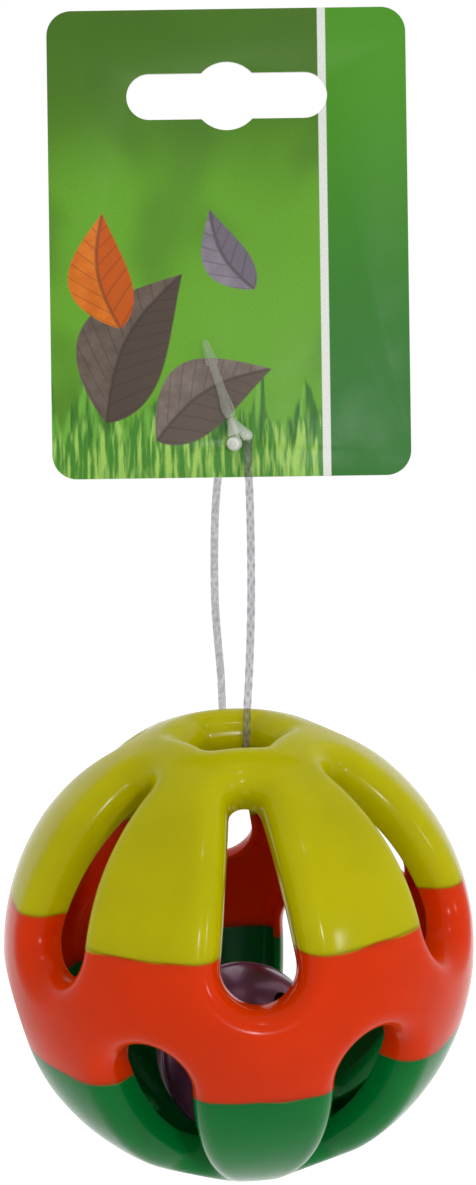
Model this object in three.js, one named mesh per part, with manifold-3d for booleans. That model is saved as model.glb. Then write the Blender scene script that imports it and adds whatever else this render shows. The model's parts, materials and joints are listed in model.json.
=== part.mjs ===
// A bell ball for small pets on its header card.
// A slotted plastic ball in three colours holds a loose jingle bell. It hangs by a braided cord loop,
// closed with a snap lock, from a printed card with a hang slot.
// Millimetres. +Z is up, -Y is the front. The origin is the top edge of the hang slot, where a peg bears.
import * as THREE from 'three';
import { mergeVertices } from 'three/addons/utils/BufferGeometryUtils.js';
import Module from 'manifold-3d';

const wasm = await Module();
wasm.setup();

// Ball shell
const BALL_RADIUS = 37.5;
const BALL_WALL = 1.4;
const BALL_DROP = 141; // from the peg's bearing edge down to the ball's centre
const BALL_TILT = 15.3; // degrees that the pole leans to the front as the ball hangs
const BALL_LEAN = 1.1; // degrees that the pole leans to the left
const BALL_TURN = 5.7; // degrees that the front slot stands to the right
const LIP_REACH = 6.5; // how far a slot's turned-in lip reaches in from the outer surface
const LIP_ROUND = 4.2;
const SLOTS_IN_ROW = 6;
const SLOT_TO_EQUATOR = 3.3; // along the surface, from the equator to the wide end's cut edge
const SLOT_LENGTH = 37.6;
const SLOT_WIDE_HALF = 6.85;
const SLOT_NARROW_HALF = 3;
const POLE_HOLE_HALF = 7.2; // centre to flat of the six-sided hole at each pole, along the surface
const POLE_HOLE_CORNER = 1.5;
const POLE_RIDGE = 1.2; // from the pole hole's lip out to the ring where the slots' cells begin
const MIDDLE_BAND_HALF = 11.1; // half the height of the middle colour
const COLOUR_GAP = 0.04; // between two colours' faces, bonded on the real ball
const MEET_HEIGHT = 9; // degrees that the line between the two rows of slots swings above and below the equator

// Bell and its pea
const BELL_RADIUS = 13.5;
const BELL_WALL = 0.6;
const BELL_SEAM_RADIUS = 13.8;
const BELL_SEAM_HEIGHT = 1.6;
const BELL_SLIT_WIDTH = 2.2;
const BELL_SLIT_REACH = 38; // degrees from the bell's pole to the centre of a slit's round end
const BELL_SLIT_END_RADIUS = 1.9;
const SHANK_WIRE = 1.2;
const SHANK_RADIUS = 2.4;
const SHANK_LEG = 1.6;
const SHANK_TURN = 26.8; // degrees from straight back round to the left, where the shank points at rest
const PEA_RADIUS = 3.5;

// Cord and lock
const CORD_DIAMETER = 1.3;
const CORD_SIDES = 8;
const CORD_STEP = 2.2; // steps' length, in cord diameters
const LOCK_LEAN = 15.3; // degrees to the left
const LOCK_X = 0.2;
const PIN_LENGTH = 17.1; // from the bulb's centre to the arrow's tip
const PIN_ARROW_LENGTH = 3.9;
const PIN_ARROW_RADIUS = 1.1;
const PIN_TIP_RADIUS = 0.5;
const PIN_STEM_RADIUS = 0.6;
const PIN_SHOULDER_RADIUS = 0.9;
const PIN_NECK_RADIUS = 0.5;
const PIN_BULB_RADIUS = 1.25;
const SOCKET_LENGTH = 2.8;
const SOCKET_RADIUS = 1.75;
const SOCKET_EAR_RADIUS = 1.05;
const SOCKET_EAR_OUT = 2.75; // from the pin's axis to the ear that takes the cord's front end
const SOCKET_EAR_STRETCH = 1.35; // the ear's length over its thickness, toward the socket

// Header card
const CARD_WIDTH = 57.5;
const CARD_HEIGHT = 75;
const CARD_THICKNESS = 0.5;
const CARD_CORNER = 4;
const CARD_OVER_PEG = 8.5; // card above the peg's bearing edge
const HANG_SLOT_WIDTH = 32.1;
const HANG_SLOT_HEIGHT = 7.3;
const HANG_LOBE_RADIUS = 5.45;
const CORD_HOLE_RADIUS = 1.2;
const CORD_HOLE_FROM_FOOT = 5.55; // from the card's lower edge up to the cord hole's centre

const CLEARANCE = 0.3; // between pieces that touch or run on each other
const SAME_PLACE = 1e-3; // points nearer than this are one point

const lipRadius = BALL_RADIUS - LIP_REACH;
const ballBase = -BALL_DROP;
const socketFoot = PIN_BULB_RADIUS + CLEARANCE / 2;
const socketTop = socketFoot + SOCKET_LENGTH;
const lockY = -CARD_THICKNESS / 2 - CLEARANCE - SOCKET_RADIUS;
const cordHoleCentre = CARD_OVER_PEG - CARD_HEIGHT + CORD_HOLE_FROM_FOOT;
// The cord lies in the bottom of the card's hole.
const cordHoleCrossing = cordHoleCentre - (CORD_HOLE_RADIUS - CORD_DIAMETER / 2 - CLEARANCE);

const rad = THREE.MathUtils.degToRad;

function paint(colour, roughness, metalness = 0, opacity = 1) {
  return new THREE.MeshStandardMaterial({ color: colour, roughness, metalness, opacity, transparent: opacity < 1 });
}

const YELLOW_PLASTIC = paint('#b9b400', 0.25);
const ORANGE_PLASTIC = paint('#d23200', 0.25);
const GREEN_PLASTIC = paint('#0f7d37', 0.25);
const PURPLE_LACQUER = paint('#4a2a52', 0.15, 0.5);
const BRIGHT_STEEL = paint('#c9c9c6', 0.25, 1);
const NYLON_CORD = paint('#b5b4ae', 0.7);
const CLEAR_NYLON = paint('#b9bab4', 0.35, 0, 0.85);
const PRINTED_CARD = paint('#5e9e33', 0.5);

function named(name, geometry, material) {
  const mesh = new THREE.Mesh(geometry, material);
  mesh.name = name;
  return mesh;
}

// A geometry of plain triangles from a list of points and a list of index triples.
function meshOf(points, triangles) {
  const geometry = new THREE.BufferGeometry();
  geometry.setAttribute('position', new THREE.Float32BufferAttribute(points.flatMap((p) => [p.x, p.y, p.z]), 3));
  geometry.setIndex(triangles.flat());
  return merged(geometry);
}

function merged(geometry) {
  const bare = geometry.clone();
  bare.deleteAttribute('normal');
  bare.deleteAttribute('uv');
  return mergeVertices(bare, SAME_PLACE / 10);
}

function toSolid(geometry) {
  const bare = merged(geometry);
  return new wasm.Manifold(new wasm.Mesh({
    numProp: 3,
    vertProperties: new Float32Array(bare.attributes.position.array),
    triVerts: new Uint32Array(bare.index.array),
  }));
}

function toGeometry(solid) {
  const mesh = solid.getMesh();
  const geometry = new THREE.BufferGeometry();
  geometry.setAttribute('position', new THREE.BufferAttribute(mesh.vertProperties, 3));
  geometry.setIndex(new THREE.BufferAttribute(mesh.triVerts, 1));
  return geometry;
}

function lathe(profile, segments) {
  const geometry = new THREE.LatheGeometry(profile.map(([r, z]) => new THREE.Vector2(r, z)), segments);
  return geometry.rotateX(Math.PI / 2); // the lathe's own axis is Y; here it is Z
}

// Ball shell. Each slot has a cell of the sphere. Rings of points run from the cell's edge over the
// outer surface, round the lip, along its cut edge and back under the wall to the cell's edge.

const CELL_SIDE_STEPS = 7;
const CELL_NARROW_STEPS = 6;
const CELL_WIDE_STEPS = 8;
const LIP_STEPS_OUTSIDE = 3;
const LIP_STEPS_INSIDE = 2;

// The rings of a lip's section, from the cell's edge outside to the cell's edge inside: how far out from
// the cut edge, how far toward the cell's edge past the lip (0 to 1), and the radius from the ball's centre.
function lipSection() {
  const rings = [];
  const innerRound = LIP_ROUND - BALL_WALL;
  rings.push({ out: LIP_ROUND, toEdge: 1, radius: BALL_RADIUS });
  for (let i = 0; i <= LIP_STEPS_OUTSIDE; i += 1) {
    const a = (Math.PI / 2) * (1 - i / LIP_STEPS_OUTSIDE);
    rings.push({
      out: LIP_ROUND * (1 - Math.cos(a)),
      toEdge: 0,
      radius: BALL_RADIUS - LIP_ROUND + LIP_ROUND * Math.sin(a),
    });
  }
  rings.push({ out: 0, toEdge: 0, radius: lipRadius });
  rings.push({ out: BALL_WALL, toEdge: 0, radius: lipRadius });
  for (let i = 0; i <= LIP_STEPS_INSIDE; i += 1) {
    const a = (Math.PI / 2) * (i / LIP_STEPS_INSIDE);
    rings.push({
      out: LIP_ROUND - innerRound * Math.cos(a),
      toEdge: 0,
      radius: BALL_RADIUS - LIP_ROUND + innerRound * Math.sin(a),
    });
  }
  rings.push({ out: LIP_ROUND, toEdge: 1, radius: BALL_RADIUS - BALL_WALL });
  return rings;
}

// A direction from the ball's centre, from the front (-Y) round toward +X and up, in radians.
function direction(azimuth, latitude) {
  return new THREE.Vector3(
    Math.cos(latitude) * Math.sin(azimuth),
    -Math.cos(latitude) * Math.cos(azimuth),
    Math.sin(latitude),
  );
}

// A direction from places on the surface: along a slot's own meridian, then square to it.
function besideMeridian(across, along) {
  const up = direction(0, along / BALL_RADIUS);
  const sideways = across / BALL_RADIUS;
  return up.multiplyScalar(Math.cos(sideways)).add(new THREE.Vector3(Math.sin(sideways), 0, 0));
}

// Distance along the surface from the pole to the six-sided hole's edge moved out by some distance.
function poleHoleReach(azimuth, out) {
  const sector = (2 * Math.PI) / SLOTS_IN_ROW;
  const flat = POLE_HOLE_HALF + out;
  const corner = POLE_HOLE_CORNER + out;
  const turn = Math.abs(azimuth - sector * Math.round(azimuth / sector));
  const half = sector / 2;
  if (flat * Math.tan(turn) <= (flat - corner) * Math.tan(half)) {
    return flat / Math.cos(turn);
  }
  const centre = (flat - corner) / Math.cos(half);
  const off = half - turn;
  return centre * Math.cos(off) + Math.sqrt(corner ** 2 - (centre * Math.sin(off)) ** 2);
}

// The edge of an upper slot's cell and the slot's cut edge, point by point, from the lower right
// corner up the right side, over the narrow end, down the left side and round the wide end.
function slotCell() {
  const half = Math.PI / SLOTS_IN_ROW;
  const wideCentre = SLOT_TO_EQUATOR + SLOT_WIDE_HALF;
  const narrowCentre = SLOT_TO_EQUATOR + SLOT_LENGTH - SLOT_NARROW_HALF;
  const taper = Math.asin((SLOT_WIDE_HALF - SLOT_NARROW_HALF) / (narrowCentre - wideCentre));
  const topLatitude = (azimuth) => Math.PI / 2
    - poleHoleReach(azimuth, LIP_ROUND + POLE_RIDGE) / BALL_RADIUS;
  const meetLatitude = (azimuth) => -rad(MEET_HEIGHT) * Math.cos(SLOTS_IN_ROW * azimuth);
  const points = [];
  const sidePoint = (side, share) => {
    const normal = new THREE.Vector2(side * Math.cos(taper), Math.sin(taper));
    const radius = THREE.MathUtils.lerp(SLOT_WIDE_HALF, SLOT_NARROW_HALF, share);
    const centre = THREE.MathUtils.lerp(wideCentre, narrowCentre, share);
    const latitude = THREE.MathUtils.lerp(meetLatitude(half), topLatitude(half), share);
    points.push({
      edge: direction(side * half, latitude),
      place: new THREE.Vector2(radius * normal.x, centre + radius * normal.y),
      normal,
    });
  };
  const endPoint = (centre, radius, angle, azimuth, latitude) => {
    const normal = new THREE.Vector2(Math.cos(angle), Math.sin(angle));
    points.push({
      edge: direction(azimuth, latitude(azimuth)),
      place: new THREE.Vector2(radius * normal.x, centre + radius * normal.y),
      normal,
    });
  };
  for (let i = 0; i < CELL_SIDE_STEPS; i += 1) {
    sidePoint(1, i / CELL_SIDE_STEPS);
  }
  for (let i = 0; i < CELL_NARROW_STEPS; i += 1) {
    const share = i / CELL_NARROW_STEPS;
    const angle = THREE.MathUtils.lerp(taper, Math.PI - taper, share);
    endPoint(narrowCentre, SLOT_NARROW_HALF, angle, half * (1 - 2 * share), topLatitude);
  }
  for (let i = 0; i < CELL_SIDE_STEPS; i += 1) {
    sidePoint(-1, 1 - i / CELL_SIDE_STEPS);
  }
  for (let i = 0; i < CELL_WIDE_STEPS; i += 1) {
    const share = i / CELL_WIDE_STEPS;
    const angle = THREE.MathUtils.lerp(Math.PI - taper, 2 * Math.PI + taper, share);
    endPoint(wideCentre, SLOT_WIDE_HALF, angle, half * (2 * share - 1), meetLatitude);
  }
  return points;
}

function poleCell() {
  const steps = SLOTS_IN_ROW * CELL_NARROW_STEPS;
  const points = [];
  for (let i = 0; i < steps; i += 1) {
    points.push({ azimuth: (2 * Math.PI * i) / steps });
  }
  return points;
}

// Joins the rings of a cell into triangles and adds them to the ball.
function addCell(ball, rings, flip) {
  const start = ball.points.length;
  const around = rings[0].length;
  rings.forEach((ring) => ball.points.push(...ring));
  for (let r = 0; r + 1 < rings.length; r += 1) {
    for (let i = 0; i < around; i += 1) {
      const next = (i + 1) % around;
      const a = start + r * around + i;
      const b = start + r * around + next;
      const c = start + (r + 1) * around + next;
      const d = start + (r + 1) * around + i;
      if (flip) {
        ball.triangles.push([a, d, c], [a, c, b]);
      } else {
        ball.triangles.push([a, b, c], [a, c, d]);
      }
    }
  }
}

function wholeShell() {
  const ball = { points: [], triangles: [] };
  const section = lipSection();
  const slot = slotCell();
  const pole = poleCell();
  const slotRings = section.map((ring) => slot.map((point) => {
    const place = point.place.clone().addScaledVector(point.normal, ring.out);
    const onLip = besideMeridian(place.x, place.y);
    return onLip.lerp(point.edge, ring.toEdge).normalize().multiplyScalar(ring.radius);
  }));
  const poleRings = section.map((ring) => pole.map((point) => {
    const out = ring.out + ring.toEdge * POLE_RIDGE;
    const latitude = Math.PI / 2 - poleHoleReach(point.azimuth, out) / BALL_RADIUS;
    return direction(point.azimuth, latitude).multiplyScalar(ring.radius);
  }));
  const axis = new THREE.Vector3(0, 0, 1);
  const mirror = new THREE.Vector3(1, 1, -1);
  for (let k = 0; k < SLOTS_IN_ROW; k += 1) {
    const upper = (2 * Math.PI * k) / SLOTS_IN_ROW;
    const lower = upper + Math.PI / SLOTS_IN_ROW;
    addCell(ball, slotRings.map((ring) => ring.map((p) => p.clone().applyAxisAngle(axis, upper))), false);
    addCell(ball, slotRings.map((ring) => ring.map((p) => p.clone().multiply(mirror)
      .applyAxisAngle(axis, lower))), true);
  }
  addCell(ball, poleRings, false);
  const halfCell = Math.PI / SLOTS_IN_ROW;
  addCell(ball, poleRings.map((ring) => ring.map((p) => p.clone().multiply(mirror)
    .applyAxisAngle(axis, halfCell))), true);
  return ball;
}

// Moves the faces cut at a colour's border back by half the gap.
function openBorder(geometry, border, shift) {
  const position = geometry.attributes.position;
  for (let i = 0; i < position.count; i += 1) {
    if (Math.abs(position.getZ(i) - border) < SAME_PLACE) {
      position.setZ(i, border + shift);
    }
  }
  return geometry;
}

function shellColours() {
  const ball = wholeShell();
  const whole = toSolid(meshOf(ball.points, ball.triangles));
  const [crown, rest] = whole.splitByPlane([0, 0, 1], MIDDLE_BAND_HALF);
  const [band, base] = rest.splitByPlane([0, 0, 1], -MIDDLE_BAND_HALF);
  const half = COLOUR_GAP / 2;
  const bandGeometry = openBorder(toGeometry(band), MIDDLE_BAND_HALF, -half);
  return [
    named('shell_crown', openBorder(toGeometry(crown), MIDDLE_BAND_HALF, half), YELLOW_PLASTIC),
    named('shell_band', openBorder(bandGeometry, -MIDDLE_BAND_HALF, half), ORANGE_PLASTIC),
    named('shell_base', openBorder(toGeometry(base), -MIDDLE_BAND_HALF, -half), GREEN_PLASTIC),
  ];
}

// Bell. Its axis is Z, with the shank up and the slits down.

const BELL_SEGMENTS = 28;
const BELL_ARC_STEPS = 6;
const SLIT_END_SEGMENTS = 12;
const SHANK_STEPS = 14;
const SHANK_BEND_STEP = 30; // degrees between the bend's points
const PEA_SEGMENTS = 16;
const PEA_RINGS = 10;
const bellInside = BELL_RADIUS - BELL_WALL;
const seamInner = BELL_SEAM_RADIUS - BELL_WALL; // inside of the lower shell's rolled rim
const rimOuter = seamInner - CLEARANCE; // outside of the upper shell's rim, drawn in to fit
const rimInner = rimOuter - BELL_WALL;

// Points of a quarter circle from the pole to the height where it meets the rim.
function quarter(radius, height) {
  const end = Math.asin(height / radius);
  const points = [];
  for (let i = 0; i <= BELL_ARC_STEPS; i += 1) {
    const a = THREE.MathUtils.lerp(Math.PI / 2, end, i / BELL_ARC_STEPS);
    points.push([i === 0 ? 0 : radius * Math.cos(a), radius * Math.sin(a)]);
  }
  return points;
}

function bellUpperShell() {
  const shoulder = BELL_SEAM_HEIGHT / 2 + CLEARANCE + BELL_WALL / 2;
  const rimEnd = -BELL_SEAM_HEIGHT / 4;
  const outside = quarter(BELL_RADIUS, shoulder);
  const inside = quarter(bellInside, shoulder + BELL_WALL).reverse();
  const profile = [
    ...outside,
    [rimOuter, shoulder],
    [rimOuter, rimEnd],
    [rimInner, rimEnd],
    [rimInner, shoulder],
    ...inside,
  ];
  return named('bell_upper_shell', toGeometry(toSolid(lathe(profile.reverse(), BELL_SEGMENTS))), PURPLE_LACQUER);
}

function bellLowerShell() {
  const seamTop = BELL_SEAM_HEIGHT / 2;
  const down = ([r, z]) => [r, -z];
  const outside = quarter(BELL_RADIUS, seamTop + BELL_WALL / 2).map(down);
  const inside = quarter(bellInside, seamTop + BELL_WALL / 2).map(down).reverse();
  const profile = [
    ...outside,
    [BELL_SEAM_RADIUS, -seamTop],
    [BELL_SEAM_RADIUS, seamTop],
    [seamInner, seamTop],
    [seamInner, -seamTop],
    ...inside,
  ];
  let shell = toSolid(lathe(profile, BELL_SEGMENTS));
  const reach = BELL_RADIUS * Math.sin(rad(BELL_SLIT_REACH));
  const depth = BELL_RADIUS * 2;
  for (const turn of [Math.PI / 4, -Math.PI / 4]) {
    const slit = new THREE.BoxGeometry(2 * reach, BELL_SLIT_WIDTH, depth);
    slit.rotateZ(turn).translate(0, 0, -depth / 2 - BELL_SEAM_HEIGHT);
    shell = shell.subtract(toSolid(slit));
    for (const side of [1, -1]) {
      const radius = BELL_SLIT_END_RADIUS;
      const end = new THREE.CylinderGeometry(radius, radius, depth, SLIT_END_SEGMENTS);
      end.rotateX(Math.PI / 2).translate(side * reach, 0, -depth / 2 - BELL_SEAM_HEIGHT);
      shell = shell.subtract(toSolid(end.rotateZ(turn)));
    }
  }
  return named('bell_lower_shell', toGeometry(shell), PURPLE_LACQUER);
}

function bellShank() {
  const foot = BELL_RADIUS + CLEARANCE;
  const crown = foot + SHANK_LEG;
  const points = [new THREE.Vector3(-SHANK_RADIUS, 0, foot)];
  for (let turn = 180; turn >= 0; turn -= SHANK_BEND_STEP) {
    const x = SHANK_RADIUS * Math.cos(rad(turn));
    points.push(new THREE.Vector3(x, 0, crown + SHANK_RADIUS * Math.sin(rad(turn))));
  }
  points.push(new THREE.Vector3(SHANK_RADIUS, 0, foot));
  return named('bell_shank', tube(new THREE.CatmullRomCurve3(points), SHANK_WIRE, SHANK_STEPS), BRIGHT_STEEL);
}

// A closed tube along a curve.
function tube(curve, diameter, steps, sides = CORD_SIDES) {
  const section = new THREE.Shape();
  for (let i = 0; i < sides; i += 1) {
    const a = (2 * Math.PI * i) / sides;
    const x = (diameter / 2) * Math.cos(a);
    const y = (diameter / 2) * Math.sin(a);
    if (i === 0) {
      section.moveTo(x, y);
    } else {
      section.lineTo(x, y);
    }
  }
  section.closePath();
  return merged(new THREE.ExtrudeGeometry(section, { extrudePath: curve, steps, bevelEnabled: false }));
}

function bellPea() {
  return named('bell_pea', merged(new THREE.SphereGeometry(PEA_RADIUS, PEA_SEGMENTS, PEA_RINGS)), BRIGHT_STEEL);
}

// Where the bell lies in the ball and the pea in the bell, each at its lowest point.
const bellDrop = lipRadius - BELL_SEAM_RADIUS - CLEARANCE;
const peaDrop = rimInner - PEA_RADIUS - CLEARANCE;

function bell() {
  const shankWay = new THREE.Vector3(-Math.sin(rad(SHANK_TURN)), Math.cos(rad(SHANK_TURN)), 0);
  const shells = new THREE.Group();
  shells.add(bellUpperShell(), bellLowerShell(), bellShank());
  shells.quaternion.setFromUnitVectors(new THREE.Vector3(0, 0, 1), shankWay);
  const pea = bellPea();
  pea.position.z = -peaDrop;
  const whole = new THREE.Group();
  whole.add(shells, pea);
  whole.position.z = ballBase - bellDrop;
  return whole;
}

function ballShell() {
  const shell = new THREE.Group();
  shell.add(...shellColours());
  shell.rotation.set(rad(BALL_TILT), -rad(BALL_LEAN), rad(BALL_TURN), 'YXZ');
  shell.position.z = ballBase;
  return shell;
}

// Snap lock. Its axis is Z with the arrow up, and its origin is the centre of the pin's bulb.

const LOCK_SEGMENTS = 16;
const EAR_RINGS = 8;
const BULB_STEPS = 6;

function lockPin() {
  const bulb = [];
  const neckAt = Math.sqrt(PIN_BULB_RADIUS ** 2 - PIN_NECK_RADIUS ** 2);
  const end = Math.asin(neckAt / PIN_BULB_RADIUS);
  for (let i = 0; i <= BULB_STEPS; i += 1) {
    const a = THREE.MathUtils.lerp(-Math.PI / 2, end, i / BULB_STEPS);
    bulb.push([i === 0 ? 0 : PIN_BULB_RADIUS * Math.cos(a), PIN_BULB_RADIUS * Math.sin(a)]);
  }
  const shoulder = socketTop + CLEARANCE;
  const arrowBase = PIN_LENGTH - PIN_ARROW_LENGTH;
  const profile = [
    ...bulb,
    [PIN_NECK_RADIUS, shoulder],
    [PIN_SHOULDER_RADIUS, shoulder + PIN_NECK_RADIUS / 2],
    [PIN_STEM_RADIUS, arrowBase],
    [PIN_ARROW_RADIUS, arrowBase - PIN_STEM_RADIUS / 2],
    [PIN_TIP_RADIUS, PIN_LENGTH - PIN_TIP_RADIUS / 2],
    [0, PIN_LENGTH],
  ];
  return named('lock_pin', toGeometry(toSolid(lathe(profile, LOCK_SEGMENTS))), CLEAR_NYLON);
}

function lockSocket() {
  const bore = PIN_NECK_RADIUS + CLEARANCE;
  const profile = [
    [bore, socketFoot],
    [SOCKET_RADIUS - CLEARANCE / 2, socketFoot],
    [SOCKET_RADIUS, socketFoot + CLEARANCE],
    [bore + CLEARANCE, socketTop],
    [bore, socketTop],
    [bore, socketFoot],
  ];
  const ear = new THREE.SphereGeometry(SOCKET_EAR_RADIUS, LOCK_SEGMENTS, EAR_RINGS);
  ear.scale(SOCKET_EAR_STRETCH, 1, 1).translate(SOCKET_EAR_OUT, 0, socketFoot);
  const socket = toSolid(lathe(profile, LOCK_SEGMENTS)).add(toSolid(ear));
  return named('lock_socket', toGeometry(socket), CLEAR_NYLON);
}

function lock() {
  const whole = new THREE.Group();
  whole.add(lockPin(), lockSocket());
  whole.rotation.y = -rad(LOCK_LEAN);
  whole.position.set(LOCK_X, lockY, cordHoleCrossing);
  return whole;
}

// Cord. One tube from the lock's ear down the front, round the bar behind the pole hole, up behind the
// card and through its hole to the pin. Heights are from the ball's centre or from the cord's crossing.
function cordRoute() {
  const ear = new THREE.Vector3(SOCKET_EAR_OUT, 0, socketFoot)
    .applyAxisAngle(new THREE.Vector3(0, 1, 0), -rad(LOCK_LEAN));
  const ball = ballBase;
  const hole = cordHoleCrossing;
  const start = [LOCK_X + ear.x, lockY, hole + ear.z - SOCKET_EAR_RADIUS - CLEARANCE];
  const end = [LOCK_X, lockY + PIN_BULB_RADIUS + CLEARANCE, hole];
  return [
    start,
    [2.55, -2.3, hole - 1.7],
    [2.65, -2.1, hole - 5],
    [2.8, -2.1, hole - 11],
    [2.75, -2.5, ball + 55],
    [2.3, -3.2, ball + 44],
    [1.9, -3.8, ball + 38],
    [1.75, -4.1, ball + 34],
    [1.55, -3.9, ball + 31.2],
    [1.2, -2.6, ball + 29.1],
    [0.5, 0, ball + 28.2],
    [-0.4, 3.6, ball + 27.5],
    [-1.2, 7, ball + 27.2],
    [-1.8, 9.8, ball + 27.8],
    [-2.05, 11.4, ball + 29.7],
    [-2.1, 11.8, ball + 32.3],
    [-2.15, 11.4, ball + 35.6],
    [-2.3, 10, ball + 42],
    [-3.1, 7.2, ball + 55],
    [-2.7, 4.4, hole - 9],
    [-1.9, 3.2, hole - 3.4],
    [-0.8, 2.6, hole - 1],
    [0, 1.6, hole - 0.1],
    [LOCK_X, 0.4, hole],
    end,
  ].map(([x, y, z]) => new THREE.Vector3(x, y, z));
}

function hangCord() {
  const curve = new THREE.CatmullRomCurve3(cordRoute(), false, 'centripetal');
  const steps = Math.round(curve.getLength() / (CORD_STEP * CORD_DIAMETER));
  return named('hang_cord', tube(curve, CORD_DIAMETER, steps), NYLON_CORD);
}

// Header card. Its outline is drawn in X and Z and pushed out along Y.

const CARD_ARC_STEPS = 6;

function headerCard() {
  const left = -CARD_WIDTH / 2;
  const right = CARD_WIDTH / 2;
  const top = CARD_OVER_PEG;
  const bottom = top - CARD_HEIGHT;
  const c = CARD_CORNER;
  const outline = new THREE.Shape();
  outline.moveTo(left + c, bottom);
  outline.lineTo(right - c, bottom);
  outline.absarc(right - c, bottom + c, c, -Math.PI / 2, 0);
  outline.lineTo(right, top - c);
  outline.absarc(right - c, top - c, c, 0, Math.PI / 2);
  outline.lineTo(left + c, top);
  outline.absarc(left + c, top - c, c, Math.PI / 2, Math.PI);
  outline.lineTo(left, bottom + c);
  outline.absarc(left + c, bottom + c, c, Math.PI, 1.5 * Math.PI);
  outline.holes.push(hangSlot(), cordHole());
  const depth = CARD_THICKNESS;
  const sheet = new THREE.ExtrudeGeometry(outline, { depth, bevelEnabled: false, curveSegments: CARD_ARC_STEPS });
  sheet.rotateX(Math.PI / 2).translate(0, depth / 2, 0);
  return named('header_card', merged(sheet), PRINTED_CARD);
}

// A long slot with a round lobe in its middle, where the peg goes.
function hangSlot() {
  const middle = -HANG_LOBE_RADIUS;
  const end = HANG_SLOT_HEIGHT / 2;
  const arm = HANG_SLOT_WIDTH / 2 - end;
  const meet = Math.asin(end / HANG_LOBE_RADIUS);
  const slot = new THREE.Path();
  slot.absarc(arm, middle, end, -Math.PI / 2, Math.PI / 2);
  slot.absarc(0, middle, HANG_LOBE_RADIUS, meet, Math.PI - meet);
  slot.absarc(-arm, middle, end, Math.PI / 2, 1.5 * Math.PI);
  slot.absarc(0, middle, HANG_LOBE_RADIUS, Math.PI + meet, 2 * Math.PI - meet);
  slot.closePath();
  return slot;
}

function cordHole() {
  const hole = new THREE.Path();
  hole.absarc(0, cordHoleCentre, CORD_HOLE_RADIUS, 0, 2 * Math.PI);
  return hole;
}

const bellBall = new THREE.Group();
bellBall.add(headerCard(), hangCord(), lock(), ballShell(), bell());

export default bellBall;
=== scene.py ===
# A rodent bell ball on its header card: the looks of each piece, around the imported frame.
# Lengths are in metres, in the frame's own axes: +Z up, -Y to the front.
import json
import math
from functools import partial

import bmesh
import bpy
import numpy as np
from bpy.props import FloatProperty, FloatVectorProperty, IntProperty, PointerProperty
from mathutils import Matrix, Vector


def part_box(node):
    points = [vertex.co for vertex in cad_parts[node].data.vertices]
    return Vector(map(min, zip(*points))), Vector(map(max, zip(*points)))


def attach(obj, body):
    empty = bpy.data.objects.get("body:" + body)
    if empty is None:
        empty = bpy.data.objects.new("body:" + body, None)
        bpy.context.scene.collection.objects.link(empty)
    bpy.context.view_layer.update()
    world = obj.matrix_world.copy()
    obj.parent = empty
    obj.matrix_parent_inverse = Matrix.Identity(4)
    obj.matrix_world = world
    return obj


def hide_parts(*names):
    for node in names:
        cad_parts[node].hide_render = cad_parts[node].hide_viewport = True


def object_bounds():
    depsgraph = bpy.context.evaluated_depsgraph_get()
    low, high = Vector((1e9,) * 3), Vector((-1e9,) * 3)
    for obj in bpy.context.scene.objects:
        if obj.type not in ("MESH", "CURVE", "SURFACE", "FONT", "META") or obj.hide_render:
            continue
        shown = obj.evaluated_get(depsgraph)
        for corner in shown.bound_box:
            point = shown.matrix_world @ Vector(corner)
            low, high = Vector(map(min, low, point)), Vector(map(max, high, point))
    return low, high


bl_info = {
    "name": "Rodent Bell Ball",
    "version": (1, 0, 0),
    "blender": (4, 5, 0),
    "location": "3D View > Sidebar > Bell Ball",
    "description": "Makes a slotted three-colour ball with a jingle bell, on a cord and a header card",
    "category": "Add Mesh",
}

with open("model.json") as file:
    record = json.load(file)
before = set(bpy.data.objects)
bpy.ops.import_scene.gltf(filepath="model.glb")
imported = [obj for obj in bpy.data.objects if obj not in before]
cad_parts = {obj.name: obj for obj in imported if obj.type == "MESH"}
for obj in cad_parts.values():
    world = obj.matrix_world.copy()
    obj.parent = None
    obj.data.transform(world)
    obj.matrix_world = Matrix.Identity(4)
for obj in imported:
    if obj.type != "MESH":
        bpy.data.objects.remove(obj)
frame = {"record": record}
CAD_BOX = [list(corner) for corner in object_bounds()]

MM = 0.001
TINY = 1e-9
WELD = 1e-7


def joint_place(name):
    """A joint's point in the frame."""
    joint = next(j for j in frame["record"]["behaviour"]["joints"] if j["name"] == name)
    return Vector(joint["pos_m"])


BALL_CENTRE = joint_place("bell_roll")
BELL_CENTRE = joint_place("pea_roll")
CORD_HOLE = joint_place("loop_swing")
CARD_LOW, CARD_HIGH = (Vector(corner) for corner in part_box("header_card"))
PEA_LOW, PEA_HIGH = (Vector(corner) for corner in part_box("bell_pea"))
PEA_CENTRE = (PEA_LOW + PEA_HIGH) / 2


def linear(hex_colour):
    """An sRGB hex colour as linear red, green, blue and alpha."""
    channels = []
    for start in (1, 3, 5):
        value = int(hex_colour[start : start + 2], 16) / 255
        channels.append(value / 12.92 if value <= 0.04045 else ((value + 0.055) / 1.055) ** 2.4)
    return (*channels, 1.0)


def length(name, description, default_mm):
    """A length property whose default is given in millimetres."""
    return FloatProperty(
        name=name,
        description=description,
        default=default_mm * MM,
        min=0.0,
        max=0.5,
        unit="LENGTH",
        subtype="DISTANCE",
        precision=5,
    )


def angle(name, description, default_degrees):
    """An angle property whose default is given in degrees."""
    return FloatProperty(
        name=name, description=description, default=math.radians(default_degrees), subtype="ANGLE"
    )


def count(name, description, default, least):
    """A property that counts something, up to a dozen."""
    return IntProperty(name=name, description=description, default=default, min=least, max=12)


def colour(name, description, hex_colour):
    """A colour property whose default is an sRGB hex colour."""
    return FloatVectorProperty(
        name=name,
        description=description,
        size=4,
        min=0.0,
        max=1.0,
        subtype="COLOR",
        default=linear(hex_colour),
    )


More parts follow.
